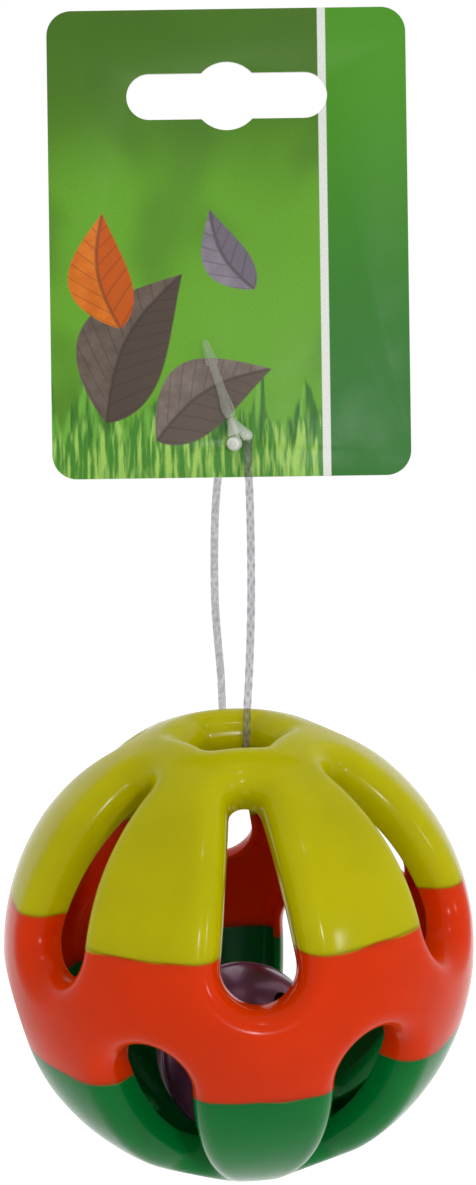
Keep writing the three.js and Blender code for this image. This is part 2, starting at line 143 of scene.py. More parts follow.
class BallSettings(bpy.types.PropertyGroup):
    radius: length("Radius", "Outer radius of the ball", 37.5)
    wall: length("Wall", "Thickness of the moulded wall", 1.4)
    lip_reach: length("Lip Reach", "How far a slot's lip turns in from the outer surface", 6.5)
    lip_round: length("Lip Round", "Radius of a slot's rounded lip", 4.2)
    slots: count("Slots in a Row", "Slots in each row", 6, 3)
    slot_to_equator: length("Slot to Equator", "From the equator to a slot's wide end", 3.3)
    slot_length: length("Slot Length", "Length of a slot along the surface", 37.6)
    slot_wide_half: length("Wide Half", "Half the width of a slot's wide end", 6.85)
    slot_narrow_half: length("Narrow Half", "Half the width of a slot's narrow end", 3.0)
    pole_hole_half: length("Pole Hole Half", "Centre to flat of the six-sided hole at a pole", 7.2)
    pole_hole_corner: length("Pole Hole Corner", "Corner radius of the hole at a pole", 1.5)
    pole_ridge: length("Pole Ridge", "From the pole hole's lip to the slots' cells", 1.2)
    meet_height: angle("Meet Height", "How far the line between the two rows swings", 9)
    band_half: length("Band Half", "Half the height of the middle colour", 11.1)
    tilt: angle("Tilt", "How far the pole leans to the front", 15.3)
    lean: angle("Lean", "How far the pole leans to the left", 1.1)
    turn: angle("Turn", "How far the front slot stands to the right", 5.7)
    crown: colour("Crown", "Upper colour of the ball", "#bab400")
    band: colour("Band", "Middle colour of the ball", "#d83500")
    base: colour("Base", "Lower colour of the ball", "#02742f")


class BellSettings(bpy.types.PropertyGroup):
    radius: length("Radius", "Outer radius of the bell", 13.5)
    wall: length("Wall", "Thickness of the bell's sheet", 0.6)
    seam_radius: length("Seam Radius", "Outer radius of the rolled seam", 13.8)
    seam_height: length("Seam Height", "Height of the rolled seam", 1.6)
    slit_width: length("Slit Width", "Width of the sound slits", 2.2)
    slit_reach: angle("Slit Reach", "From the bell's pole to a slit's round end", 38)
    slit_end: length("Slit End", "Radius of a slit's round end", 1.9)
    clearance: length("Clearance", "Between the rim and the shell in it", 0.3)
    shank_wire: length("Shank Wire", "Diameter of the shank's wire", 1.2)
    shank_radius: length("Shank Radius", "Radius of the shank's bend", 2.4)
    shank_leg: length("Shank Leg", "Straight leg of the shank", 1.6)
    shank_turn: angle("Shank Turn", "From straight back round to the left", 26.8)
    lacquer: colour("Lacquer", "Colour of the bell's lacquer", "#7d4568")
    steel: colour("Steel", "Colour of the plated wire and pea", "#cfcfcc")


class CordSettings(bpy.types.PropertyGroup):
    diameter: length("Diameter", "Diameter of the braided cord", 1.3)
    strands: count("Strands", "Strands laid each way round", 4, 2)
    lay: length("Lay", "Length in which a strand goes once round", 9.6)
    relief: length("Relief", "How deep the braid's grooves are", 0.17)
    yarn: colour("Yarn", "Colour of the cord's yarn", "#cfcec8")
    # The groove colour is painted shade, laid between the modelled strands.
    groove_shade: colour("Groove", "Colour deep between the strands", "#8d8c86")


class LockSettings(bpy.types.PropertyGroup):
    lean: angle("Lean", "How far the lock leans to the left", 18.1)
    side: length("Side", "How far the foot of the lock's axis stands to the right", 1.3)
    reach: length("Reach", "From the card's front to the lock's axis", 2.05)
    bulb: length("Bulb", "Radius of the pin's bulb", 1.24)
    bulb_side: length("Bulb Side", "From the axis to the bulb's centre, to the left", 0.81)
    bulb_rise: length("Bulb Rise", "Height of the bulb's centre", 0.26)
    pin_length: length("Pin Length", "Height of the arrow's tip", 17.35)
    arrow_length: length("Arrow Length", "Length of the pin's arrow", 4.0)
    arrow_radius: length("Arrow Radius", "Radius of the arrow's barb", 0.98)
    tip_radius: length("Tip Radius", "Radius of the arrow's rounded tip", 0.5)
    stem_radius: length("Stem Radius", "Radius of the stem under the arrow", 0.6)
    barrel_radius: length("Barrel Radius", "Radius of the stem at its thickest", 0.98)
    barrel_height: length("Barrel Height", "Height of the stem's thickest part", 5.9)
    neck_radius: length("Neck Radius", "Radius of the pin in the socket", 0.35)
    socket_foot: length("Socket Foot", "Height of the socket's foot", 1.55)
    socket_length: length("Socket Length", "Length of the socket", 2.75)
    socket_radius: length("Socket Radius", "Radius of the socket's foot", 1.45)
    mouth_radius: length("Mouth Radius", "Radius of the socket's upper end", 0.76)
    ear_radius: length("Ear Radius", "Radius of the socket's ear", 0.95)
    ear_out: length("Ear Out", "From the axis to the ear's centre", 1.48)
    ear_rise: length("Ear Rise", "Height of the ear's centre", 0.85)
    clearance: length("Clearance", "Between the pin and the socket", 0.1)
    nylon: colour("Nylon", "Colour of the lock's nylon", "#eceee8")


class CardSettings(bpy.types.PropertyGroup):
    corner: length("Corner", "Radius of the card's corners", 4.0)
    slot_width: length("Slot Width", "Width of the hang slot", 32.1)
    slot_height: length("Slot Height", "Height of the hang slot's arms", 7.3)
    lobe_radius: length("Lobe Radius", "Radius of the hang slot's middle lobe", 5.45)
    hole_radius: length("Hole Radius", "Radius of the cord's hole", 0.95)
    hole_side: length("Hole Side", "How far the cord's hole stands to the right", 0.2)
    hole_drop: length("Hole Drop", "From the peg's bearing edge to the cord's hole", 61.1)
    field_dark: colour("Field Dark", "Shaded green of the printed field", "#416c12")
    field_light: colour("Field Light", "Bright green of the printed field", "#66a626")
    strip_top: colour("Strip Top", "Green of the side strip at the top", "#489216")
    strip_low: colour("Strip Low", "Green of the side strip at the bottom", "#267020")
    board: colour("Board", "Colour of the bare board", "#f1f0ea")


class StageSettings(bpy.types.PropertyGroup):
    floor: colour("Floor", "Colour of the floor", "#f4f4f2")
    floor_drop: length("Floor Drop", "Gap from the ball down to the floor", 280)


class BellBallSettings(bpy.types.PropertyGroup):
    ball: PointerProperty(type=BallSettings)
    bell: PointerProperty(type=BellSettings)
    cord: PointerProperty(type=CordSettings)
    lock: PointerProperty(type=LockSettings)
    card: PointerProperty(type=CardSettings)
    stage: PointerProperty(type=StageSettings)


# Meshes


def object_of(name, data, *materials):
    """A new object in the scene, at the origin, with its materials."""
    obj = bpy.data.objects.new(name, data)
    bpy.context.scene.collection.objects.link(obj)
    for material in materials:
        data.materials.append(material)
    return obj


def piece_of(name, mesh, body, node, slot, *materials):
    """A finished piece: it rides on a body and stands for a node, whose part is hidden. Its slot is not
    used.
    """
    piece = object_of(name, mesh, *materials)
    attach(piece, body)
    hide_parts(node)
    return piece


def plain_mesh(name, points, faces):
    """A mesh of points and faces, as they are."""
    mesh = bpy.data.meshes.new(name)
    mesh.from_pydata([tuple(p) for p in points], [], faces)
    return mesh


def welded(mesh, distance):
    """A mesh with its doubles merged and its normals made to point out."""
    shape = bmesh.new()
    shape.from_mesh(mesh)
    bmesh.ops.remove_doubles(shape, verts=shape.verts, dist=distance)
    bmesh.ops.recalc_face_normals(shape, faces=shape.faces)
    shape.to_mesh(mesh)
    shape.free()
    return mesh


def strips(rings, around, start=0, closed=True):
    """The faces between rings of points that follow each other, each with so many points around."""
    faces = []
    for low in range(start, start + (rings - 1) * around, around):
        for i in range(around if closed else around - 1):
            j = (i + 1) % around
            faces.append([low + i, low + j, low + around + j, low + around + i])
    return faces


def turned(way):
    """The turn that brings Z to a direction."""
    return Vector((0, 0, 1)).rotation_difference(way).to_matrix().to_4x4()


def smooth(mesh, crease_degrees=35):
    """Smooth shading, with edges sharper than the crease kept sharp."""
    mesh.shade_smooth()
    mesh.set_sharp_from_angle(angle=math.radians(crease_degrees))
    return mesh


def lathe(name, profile, segments):
    """A closed solid turned round Z from a list of (radius, height) that starts and ends on the axis."""
    points = []
    rows = []
    for radius, height in profile:
        if radius < TINY:
            rows.append([len(points)] * segments)
            points.append((0.0, 0.0, height))
        else:
            rows.append(list(range(len(points), len(points) + segments)))
            for i in range(segments):
                turn = 2 * math.pi * i / segments
                points.append((radius * math.cos(turn), radius * math.sin(turn), height))
    faces = []
    for low, high in zip(rows, rows[1:]):
        for i in range(segments):
            j = (i + 1) % segments
            face = []
            for corner in (low[i], low[j], high[j], high[i]):
                if corner not in face:
                    face.append(corner)
            if len(face) > 2:
                faces.append(face)
    return welded(plain_mesh(name, points, faces), WELD)


def arc(radius, start_degrees, end_degrees, steps, centre=(0.0, 0.0)):
    """Points of an arc, as (radius from the axis, height)."""
    points = []
    for i in range(steps + 1):
        turn = math.radians(start_degrees + (end_degrees - start_degrees) * i / steps)
        across = centre[0] + radius * math.cos(turn)
        points.append((0.0 if across < TINY else across, centre[1] + radius * math.sin(turn)))
    return points


def ball_of(name, radius, steps, centre):
    """A ball, a lathe of an arc, round a centre."""
    mesh = lathe(name, arc(radius, -90, 90, steps), steps * 3 // 2)
    mesh.transform(Matrix.Translation(centre))
    return mesh


def rod(name, low_radius, high_radius, low, high):
    """A round rod between two heights, that may taper."""
    return lathe(name, [(0.0, low), (low_radius, low), (high_radius, high), (0.0, high)], 36)


def plain_copy(obj, name):
    """The evaluated object as a plain mesh. The object itself is deleted."""
    graph = bpy.context.evaluated_depsgraph_get()
    mesh = bpy.data.meshes.new_from_object(obj.evaluated_get(graph))
    mesh.name = name
    bpy.data.objects.remove(obj)
    return mesh


def boolean_of(name, base, others):
    """A plain mesh of a base mesh joined with, or cut by, other meshes: (mesh, operation)."""
    whole = object_of(name, base)
    tools = []
    for mesh, operation in others:
        tool = object_of(mesh.name, mesh)
        tools.append(tool)
        modifier = whole.modifiers.new(mesh.name, "BOOLEAN")
        modifier.operation = operation
        modifier.solver = "EXACT"
        modifier.object = tool
    mesh = plain_copy(whole, name)
    for tool in tools:
        bpy.data.objects.remove(tool)
    return mesh


def centripetal_curve(points, step):
    """Points a step apart along a centripetal Catmull-Rom curve through the given points."""
    p = np.array(points, float)
    p = np.vstack([2 * p[0] - p[1], p, 2 * p[-1] - p[-2]])
    fine = []
    between = 60
    for four in (p[k : k + 4] for k in range(len(p) - 3)):
        gaps = np.sqrt(np.linalg.norm(np.diff(four, axis=0), axis=1))
        knots = np.concatenate([[0.0], np.cumsum(gaps)])
        for t in np.linspace(knots[1], knots[2], between, endpoint=False):
            fine.append(between_knots(four, knots, t))
    fine.append(p[-2])
    fine = np.array(fine)
    along = np.concatenate([[0], np.cumsum(np.linalg.norm(np.diff(fine, axis=0), axis=1))])
    even = np.linspace(0, along[-1], int(round(along[-1] / step)) + 1)
    return np.stack([np.interp(even, along, fine[:, axis]) for axis in range(3)], axis=1)


def between_knots(four, knots, t):
    """The curve's point at t, between the two middle ones of four points."""

    def share(a, b, low, high):
        return (a * (knots[high] - t) + b * (t - knots[low])) / (knots[high] - knots[low])

    first, second, third = (share(four[i], four[i + 1], i, i + 1) for i in range(3))
    return share(share(first, second, 0, 2), share(second, third, 1, 3), 1, 2)


# Materials

MATH = "ShaderNodeMath"
MIX = "ShaderNodeMix"
MAP = "ShaderNodeMapRange"
NOISE = "ShaderNodeTexNoise"
MAPPING = "ShaderNodeMapping"
SEPARATE = "ShaderNodeSeparateXYZ"
ATTRIBUTE = "ShaderNodeAttribute"
PRINCIPLED = "ShaderNodeBsdfPrincipled"
MIX_SHADER = "ShaderNodeMixShader"
OUTPUT = "ShaderNodeOutputMaterial"
SMOOTH = {"interpolation_type": "SMOOTHSTEP"}
# A Mix node of colours has its factor and two colours at inputs 0, 6 and 7, and its result at output 2.
COLOURS = {"data_type": "RGBA"}
BLACK = (0.0, 0.0, 0.0, 1.0)
WHITE = (1.0, 1.0, 1.0, 1.0)


def add_node(tree, kind, inputs=(), **settings):
    """Adds a node with its settings, sets or links its inputs by place or name, returns its outputs."""
    node = tree.nodes.new(kind)
    for key, value in settings.items():
        setattr(node, key, value)
    for key, value in inputs.items() if isinstance(inputs, dict) else enumerate(inputs):
        for source in value if isinstance(value, list) else [value]:
            if isinstance(source, bpy.types.NodeSocket):
                tree.links.new(source, node.inputs[key])
            else:
                node.inputs[key].default_value = source
    return node.outputs


def new_material(name):
    """An empty node material, a function that adds a node to it, and places in metres in the frame."""
    material = bpy.data.materials.new(name)
    material.use_nodes = True
    material.node_tree.nodes.clear()
    add = partial(add_node, material.node_tree)
    return material, add, add("ShaderNodeTexCoord")["Object"]


def patches(add, place, size, detail=2.0, limits=(0.3, 0.7), reach=(0.0, 1.0)):
    """A value that runs from one end of its reach to the other in patches of about a size."""
    noise = add(NOISE, {"Vector": place, "Scale": 1 / size, "Detail": detail})["Fac"]
    return add(MAP, (noise, *limits, *reach), **SMOOTH)["Result"]


def mottled(add, place, under, over, most, size, detail=2.0, limits=(0.3, 0.7)):
    """A colour with patches of another over it, of about a size and at most so strong."""
    share = patches(add, place, size, detail, limits, (0.0, most))
    return add(MIX, {0: share, 6: under, 7: over}, **COLOURS)[2]


def uneven(add, place, size, strength, depth, detail=2.0, **under):
    """The normal of a surface that rises and sinks over about a size, on another normal where given."""
    height = add(NOISE, {"Vector": place, "Scale": 1 / size, "Detail": detail})["Fac"]
    return add("ShaderNodeBump", {"Strength": strength, "Distance": depth, "Height": height, **under})[0]


def three_shot_polypropylene(ball):
    """Glossy moulded polypropylene in three shots, whose colours run into each other a little."""
    # Polypropylene: soft waxy gloss, a faintly uneven moulded surface, borders blurred by the melt.
    material, add, place = new_material("three_shot_polypropylene")
    height = add(ATTRIBUTE, attribute_name="polar_height")["Fac"]
    # The borders wave, and the wave's middle is half its height.
    wave = 1.6 * MM
    noise = add(NOISE, {"Vector": place, "Scale": 1 / (9 * MM), "Detail": 1.0})["Fac"]
    height = add(MATH, (noise, wave, height), operation="MULTIPLY_ADD")[0]
    blur = 0.28 * MM
    colours = ball.base
    for border, above in ((-ball.band_half, ball.band), (ball.band_half, ball.crown)):
        border += wave / 2
        over = add(MAP, (height, border - blur, border + blur), **SMOOTH)["Result"]
        colours = add(MIX, {0: over, 6: colours, 7: above}, **COLOURS)[2]
    cloudy = mottled(
        add, place, colours, BLACK, most=0.12, size=14 * MM, detail=3.0, limits=(0.3, 0.75)
    )
    haze = patches(add, place, size=5 * MM, detail=4.0, limits=(0.3, 0.8), reach=(0.12, 0.2))
    sink = uneven(add, place, size=11 * MM, detail=1.0, strength=0.25, depth=0.5 * MM)
    shader = add(
        PRINCIPLED,
        {
            "Base Color": cloudy,
            "Roughness": haze,
            "IOR": 1.49,
            "Specular IOR Level": 0.09,
            "Subsurface Weight": 0.9,
            "Subsurface Radius": (1.0, 1.0, 1.0),
            "Subsurface Scale": 3 * MM,
            "Normal": uneven(add, place, size=0.5 * MM, strength=0.06, depth=0.05 * MM, Normal=sink),
        },
    )[0]
    add(OUTPUT, {"Surface": shader})
    return material


def lacquered_steel(bell):
    """Bright stamped steel under a clear purple lacquer."""
    # Lacquered steel: deep metallic colour under a hard clear gloss, darker where the lacquer is thick.
    material, add, place = new_material("purple_lacquered_steel")
    thick = linear("#54284a")
    tint = mottled(
        add, place, bell.lacquer, thick, most=0.35, size=4 * MM, detail=3.0, limits=(0.3, 0.75)
    )
    haze = patches(add, place, size=1.2 * MM, detail=3.0, limits=(0.3, 0.8), reach=(0.3, 0.42))
    shader = add(
        PRINCIPLED,
        {
            "Base Color": tint,
            "Metallic": 0.6,
            "Roughness": haze,
            "Coat Weight": 0.25,
            "Coat Roughness": 0.12,
            "Normal": uneven(add, place, size=2.5 * MM, strength=0.15, depth=0.1 * MM),
        },
    )[0]
    add(OUTPUT, {"Surface": shader})
    return material


def plated_steel(bell):
    """Nickel-plated steel of the wire and the pea."""
    # Nickel plate: neutral bright metal with fine rubbed marks.
    material, add, place = new_material("nickel_plated_steel")
    worn = linear("#8d8b86")
    tint = mottled(add, place, bell.steel, worn, most=0.25, size=1.5 * MM, limits=(0.3, 0.8))
    rub = patches(add, place, size=0.6 * MM, detail=4.0, limits=(0.3, 0.8), reach=(0.18, 0.36))
    shader = add(PRINCIPLED, {"Base Color": tint, "Metallic": 1.0, "Roughness": rub})[0]
    add(OUTPUT, {"Surface": shader})
    return material


def braided_yarn(cord):
    """Braided multifilament nylon yarn, whose strands are modelled."""
    # Clear nylon yarn: sheer, so it takes the colour behind it; grey on white. Painted glints light the
    # strands' backs and painted shade darkens the grooves between them, in the yarn's colour and in what
    # shows through it.
    material, add, place = new_material("braided_nylon_yarn")
    relief = add(ATTRIBUTE, attribute_name="strand_height")["Fac"]
    along = add(ATTRIBUTE, attribute_name="strand_run")["Fac"]
    # Painted light: from groove to strand back, the yarn goes from painted shade to its own colour, and
    # what shows through it goes from painted shade to a painted glint.
    back = add(MAP, (relief, 0.2, 0.9), **SMOOTH)["Result"]
    tint = add(MIX, {0: back, 6: cord.groove_shade, 7: cord.yarn}, **COLOURS)[2]
    sheer_with_painted_light = add(MIX, {0: back, 6: linear("#a3a2a5"), 7: linear("#eeecf0")}, **COLOURS)[2]
    fleck = patches(add, place, size=0.8 * MM, detail=3.0)
    some = add(MATH, (fleck, 0.4), operation="MULTIPLY")[0]
    sheer_with_painted_light = add(MIX, {0: some, 6: sheer_with_painted_light, 7: linear("#9a989b")}, **COLOURS)[2]
    # Filaments are about 0.03 mm wide in the real yarn, and drawn 0.13 mm wide so that they show.
    filaments = 7
    turn = add(MATH, (along, 2 * math.pi * filaments), operation="MULTIPLY")[0]
    ridge = add(MATH, (turn,), operation="SINE")[0]
    normal = add("ShaderNodeBump", {"Strength": 0.35, "Distance": 0.03 * MM, "Height": ridge})[0]
    fibre = add(PRINCIPLED, {"Base Color": tint, "Roughness": 0.4, "IOR": 1.53, "Normal": normal})[0]
    clear = add("ShaderNodeBsdfTransparent", {"Color": sheer_with_painted_light})[0]
    body = add(MAP, (fleck, 0.0, 1.0, 0.18, 0.08), **SMOOTH)["Result"]
    add(OUTPUT, {"Surface": add(MIX_SHADER, (body, clear, fibre))[0]})
    return material


def natural_nylon(lock):
    """Unfilled moulded nylon, a little milky and nearly clear."""
    # Natural nylon 6: clear in the thin stem, milky in the thick foot and along the outline, with a
    # gloss moulded skin.
    material, add, place = new_material("natural_moulded_nylon")
    tint = mottled(add, place, lock.nylon, linear("#cfd0c8"), most=0.25, size=2.5 * MM)
    haze = patches(add, place, size=1.5 * MM, limits=(0.3, 0.8), reach=(0.18, 0.3))
    normal = uneven(add, place, size=1.2 * MM, strength=0.04, depth=0.04 * MM)
    height = add(SEPARATE, (place,))["Z"]
    foot = CORD_HOLE.z
    thick = add(MAP, (height, foot, foot + 6 * MM, 0.5, 0.12), **SMOOTH)["Result"]
    facing = add("ShaderNodeLayerWeight", {"Blend": 0.5})["Facing"]
    outline = add(MAP, (facing, 0.35, 0.9, 0.0, 0.6), **SMOOTH)["Result"]
    body = add(MATH, (thick, outline), operation="MAXIMUM")[0]
    milky = add(PRINCIPLED, {"Base Color": tint, "Roughness": haze, "IOR": 1.53, "Normal": normal})[0]
    clear = add("ShaderNodeBsdfTransparent", {"Color": linear("#f2f4ee")})[0]
    add(OUTPUT, {"Surface": add(MIX_SHADER, (body, clear, milky))[0]})
    return material


# The printed leaves: foot across and up from the card's centre and lower edge in millimetres, the way
# that they point in degrees, length, half width, and two colours.
PRINTED_LEAVES = (
    (-20.0, 9.0, 62.0, 27.0, 7.5, "#4f4238", "#6d5f55"),
    (-12.0, 6.0, 31.0, 22.0, 6.0, "#5d5047", "#80736b"),
    (-17.5, 24.0, 98.0, 19.0, 5.2, "#c4570c", "#e07a1c"),
    (4.0, 30.0, 118.0, 15.0, 3.8, "#6f6672", "#8d8490"),
)


def printed_leaf(add, place, foot, turn, size, half):
    """The masks of one printed leaf, of its midrib and veins, and of its lighter side."""
    along_leaf = {"Location": foot, "Rotation": (0.0, -turn, 0.0), "Scale": (size, 1.0, size)}
    own = add(MAPPING, {"Vector": place, **along_leaf}, vector_type="TEXTURE")[0]
    split = add(SEPARATE, (own,))
    share = split["X"]
    # From here, lengths are shares of the leaf's length.
    mm = MM / size
    run = add(MATH, (share, math.pi), operation="MULTIPLY")[0]
    bow = add(MATH, (run,), operation="SINE")[0]
    side = add(MATH, (bow, -0.12, split["Z"]), operation="MULTIPLY_ADD")[0]
    away = add(MATH, (side,), operation="ABSOLUTE")[0]
    inner = add("ShaderNodeClamp", (share,))[0]
    fuller = add(MATH, (inner, 0.75), operation="POWER")[0]
    run = add(MATH, (fuller, math.pi), operation="MULTIPLY")[0]
    bulge = add(MATH, (run,), operation="SINE")[0]
    edge = add(MATH, (bulge, half / size), operation="MULTIPLY")[0]
    inside = add(MATH, (edge, away), operation="SUBTRACT")[0]
    leaf = add(MAP, (inside, 0.0, 0.35 * mm), **SMOOTH)["Result"]
    midrib = add(MAP, (away, 0.15 * mm, 0.4 * mm, 0.5, 0.0), **SMOOTH)["Result"]
    slant = add(MATH, (away, -0.9, share), operation="MULTIPLY_ADD")[0]
    beat = add(MATH, (slant, 1.3 * mm), operation="PINGPONG")[0]
    veins = add(MAP, (beat, 0.05 * mm, 0.3 * mm, 0.3, 0.0), **SMOOTH)["Result"]
    lines = add(MATH, (midrib, veins), operation="MAXIMUM")[0]
    lines = add(MATH, (lines, leaf), operation="MULTIPLY")[0]
    return leaf, lines, add(MAP, (side, -0.2 * mm, 0.2 * mm), **SMOOTH)["Result"]


def varnished_print(card, centre_x, low, high):
    """The card's front: a plain print of a blurred meadow with fallen leaves, under a gloss varnish."""
    # Coated board: flat ink with a fine print grain under a thin even varnish.
    material, add, place = new_material("varnished_printed_board")
    split = add(SEPARATE, (place,))
    across = add(MATH, (split["X"], centre_x), operation="SUBTRACT")[0]
    up = add(MATH, (split["Z"], low), operation="SUBTRACT")[0]
    tall = high - low
    # The field: broad soft blurs, darker behind the slot, brighter in the middle.
    blurs = {"Vector": place, "Scale": 1 / (26 * MM), "Detail": 1.5, "Roughness": 0.4}
    glow = add(MAP, (up, 0.86 * tall, 0.5 * tall, 0.0, 0.55), **SMOOTH)["Result"]
    lit = add(MATH, (add(NOISE, blurs)["Fac"], 0.6, glow), operation="MULTIPLY_ADD")[0]
    lit = add(MAP, (lit, 0.15, 0.95), **SMOOTH)["Result"]
    ink = add(MIX, {0: lit, 6: card.field_dark, 7: card.field_light}, **COLOURS)[2]
    deep = linear("#2d5212")
    ink = mottled(add, place, ink, deep, most=0.4, size=17 * MM, detail=1.0, limits=(0.48, 0.72))
    # Grass: two layers of blades stretched along Z, the front ones shorter and paler.
    stretch = (1.0, 1.0, 0.12)
    for width, reach, dark, pale, shift, lean in (
        (1.1, 17.0, "#2f6a1a", "#6fb03c", 3.0, -0.12),
        (0.7, 11.0, "#3f8424", "#9fcb5c", 11.0, 0.16),
    ):
        own = {"Location": (shift * MM, 0.0, 0.0), "Rotation": (0.0, lean, 0.0), "Scale": stretch}
        stretched = add(MAPPING, {"Vector": place, **own})[0]
        blade = patches(add, stretched, size=width * MM, limits=(0.38, 0.66))
        tip = add(NOISE, {"Vector": stretched, "Scale": 1 / (2.2 * width * MM), "Detail": 1.0})["Fac"]
        tip = add(MATH, (tip, reach * 1.6 * MM), operation="MULTIPLY")[0]
        grown = add(MATH, (tip, up), operation="SUBTRACT")[0]
        grown = add(MAP, (grown, 0.0, 2.5 * MM), **SMOOTH)["Result"]
        tone = add(MIX, {0: blade, 6: linear(dark), 7: linear(pale)}, **COLOURS)[2]
        ink = add(MIX, {0: grown, 6: ink, 7: tone}, **COLOURS)[2]
    for foot_x, foot_z, turn, size, half, dark, pale in PRINTED_LEAVES:
        foot = (centre_x + foot_x * MM, 0.0, low + foot_z * MM)
        leaf, lines, light = printed_leaf(add, place, foot, math.radians(turn), size * MM, half * MM)
        body = add(MIX, {0: light, 6: linear(dark), 7: linear(pale)}, **COLOURS)[2]
        body = mottled(add, place, body, linear(dark), most=0.6, size=2.6 * MM, detail=4.0)
        body = add(MIX, {0: lines, 6: body, 7: linear("#2e2622")}, **COLOURS)[2]
        ink = add(MIX, {0: leaf, 6: ink, 7: body}, **COLOURS)[2]
    # The white line and then the side strip, each over all that is to its right.
    fall = add(MAP, (up, 0.15 * tall, 0.95 * tall), **SMOOTH)["Result"]
    strip = add(MIX, {0: fall, 6: card.strip_low, 7: card.strip_top}, **COLOURS)[2]
    blur = 0.08 * MM
    for start, tone in ((14.6 * MM, linear("#e4e6e0")), (15.9 * MM, strip)):
        right = add(MAP, (across, start - blur, start + blur), **SMOOTH)["Result"]
        ink = add(MIX, {0: right, 6: ink, 7: tone}, **COLOURS)[2]
    # Print dots are 0.1 mm apart in the real print, and drawn at 0.25 mm so that they show.
    ink = mottled(add, place, ink, BLACK, most=0.14, size=0.25 * MM, limits=(0.35, 0.7))
    shader = add(
        PRINCIPLED,
        {
            "Base Color": ink,
            "Roughness": patches(add, place, size=9 * MM, detail=3.0, reach=(0.34, 0.46)),
            "IOR": 1.5,
            "Specular IOR Level": 0.25,
            "Normal": uneven(add, place, size=6 * MM, strength=0.12, depth=0.1 * MM),
        },
    )[0]
    add(OUTPUT, {"Surface": shader})
    return material


def bare_board(card):
    """The card's back and cut edges: white pulp board."""
    # Folding boxboard: white, matt, with fine flecks of fibre.
    material, add, place = new_material("white_folding_boxboard")
    fleck = linear("#cfccc2")
    tint = mottled(
        add, place, card.board, fleck, most=0.22, size=0.6 * MM, detail=4.0, limits=(0.45, 0.8)
    )
    tint = mottled(add, place, tint, linear("#d9d6cc"), most=0.1, size=12 * MM)
    normal = uneven(add, place, size=0.3 * MM, detail=3.0, strength=0.25, depth=0.03 * MM)
    shader = add(PRINCIPLED, {"Base Color": tint, "Roughness": 0.72, "IOR": 1.45, "Normal": normal})[0]
    add(OUTPUT, {"Surface": shader})
    return material


# Ball


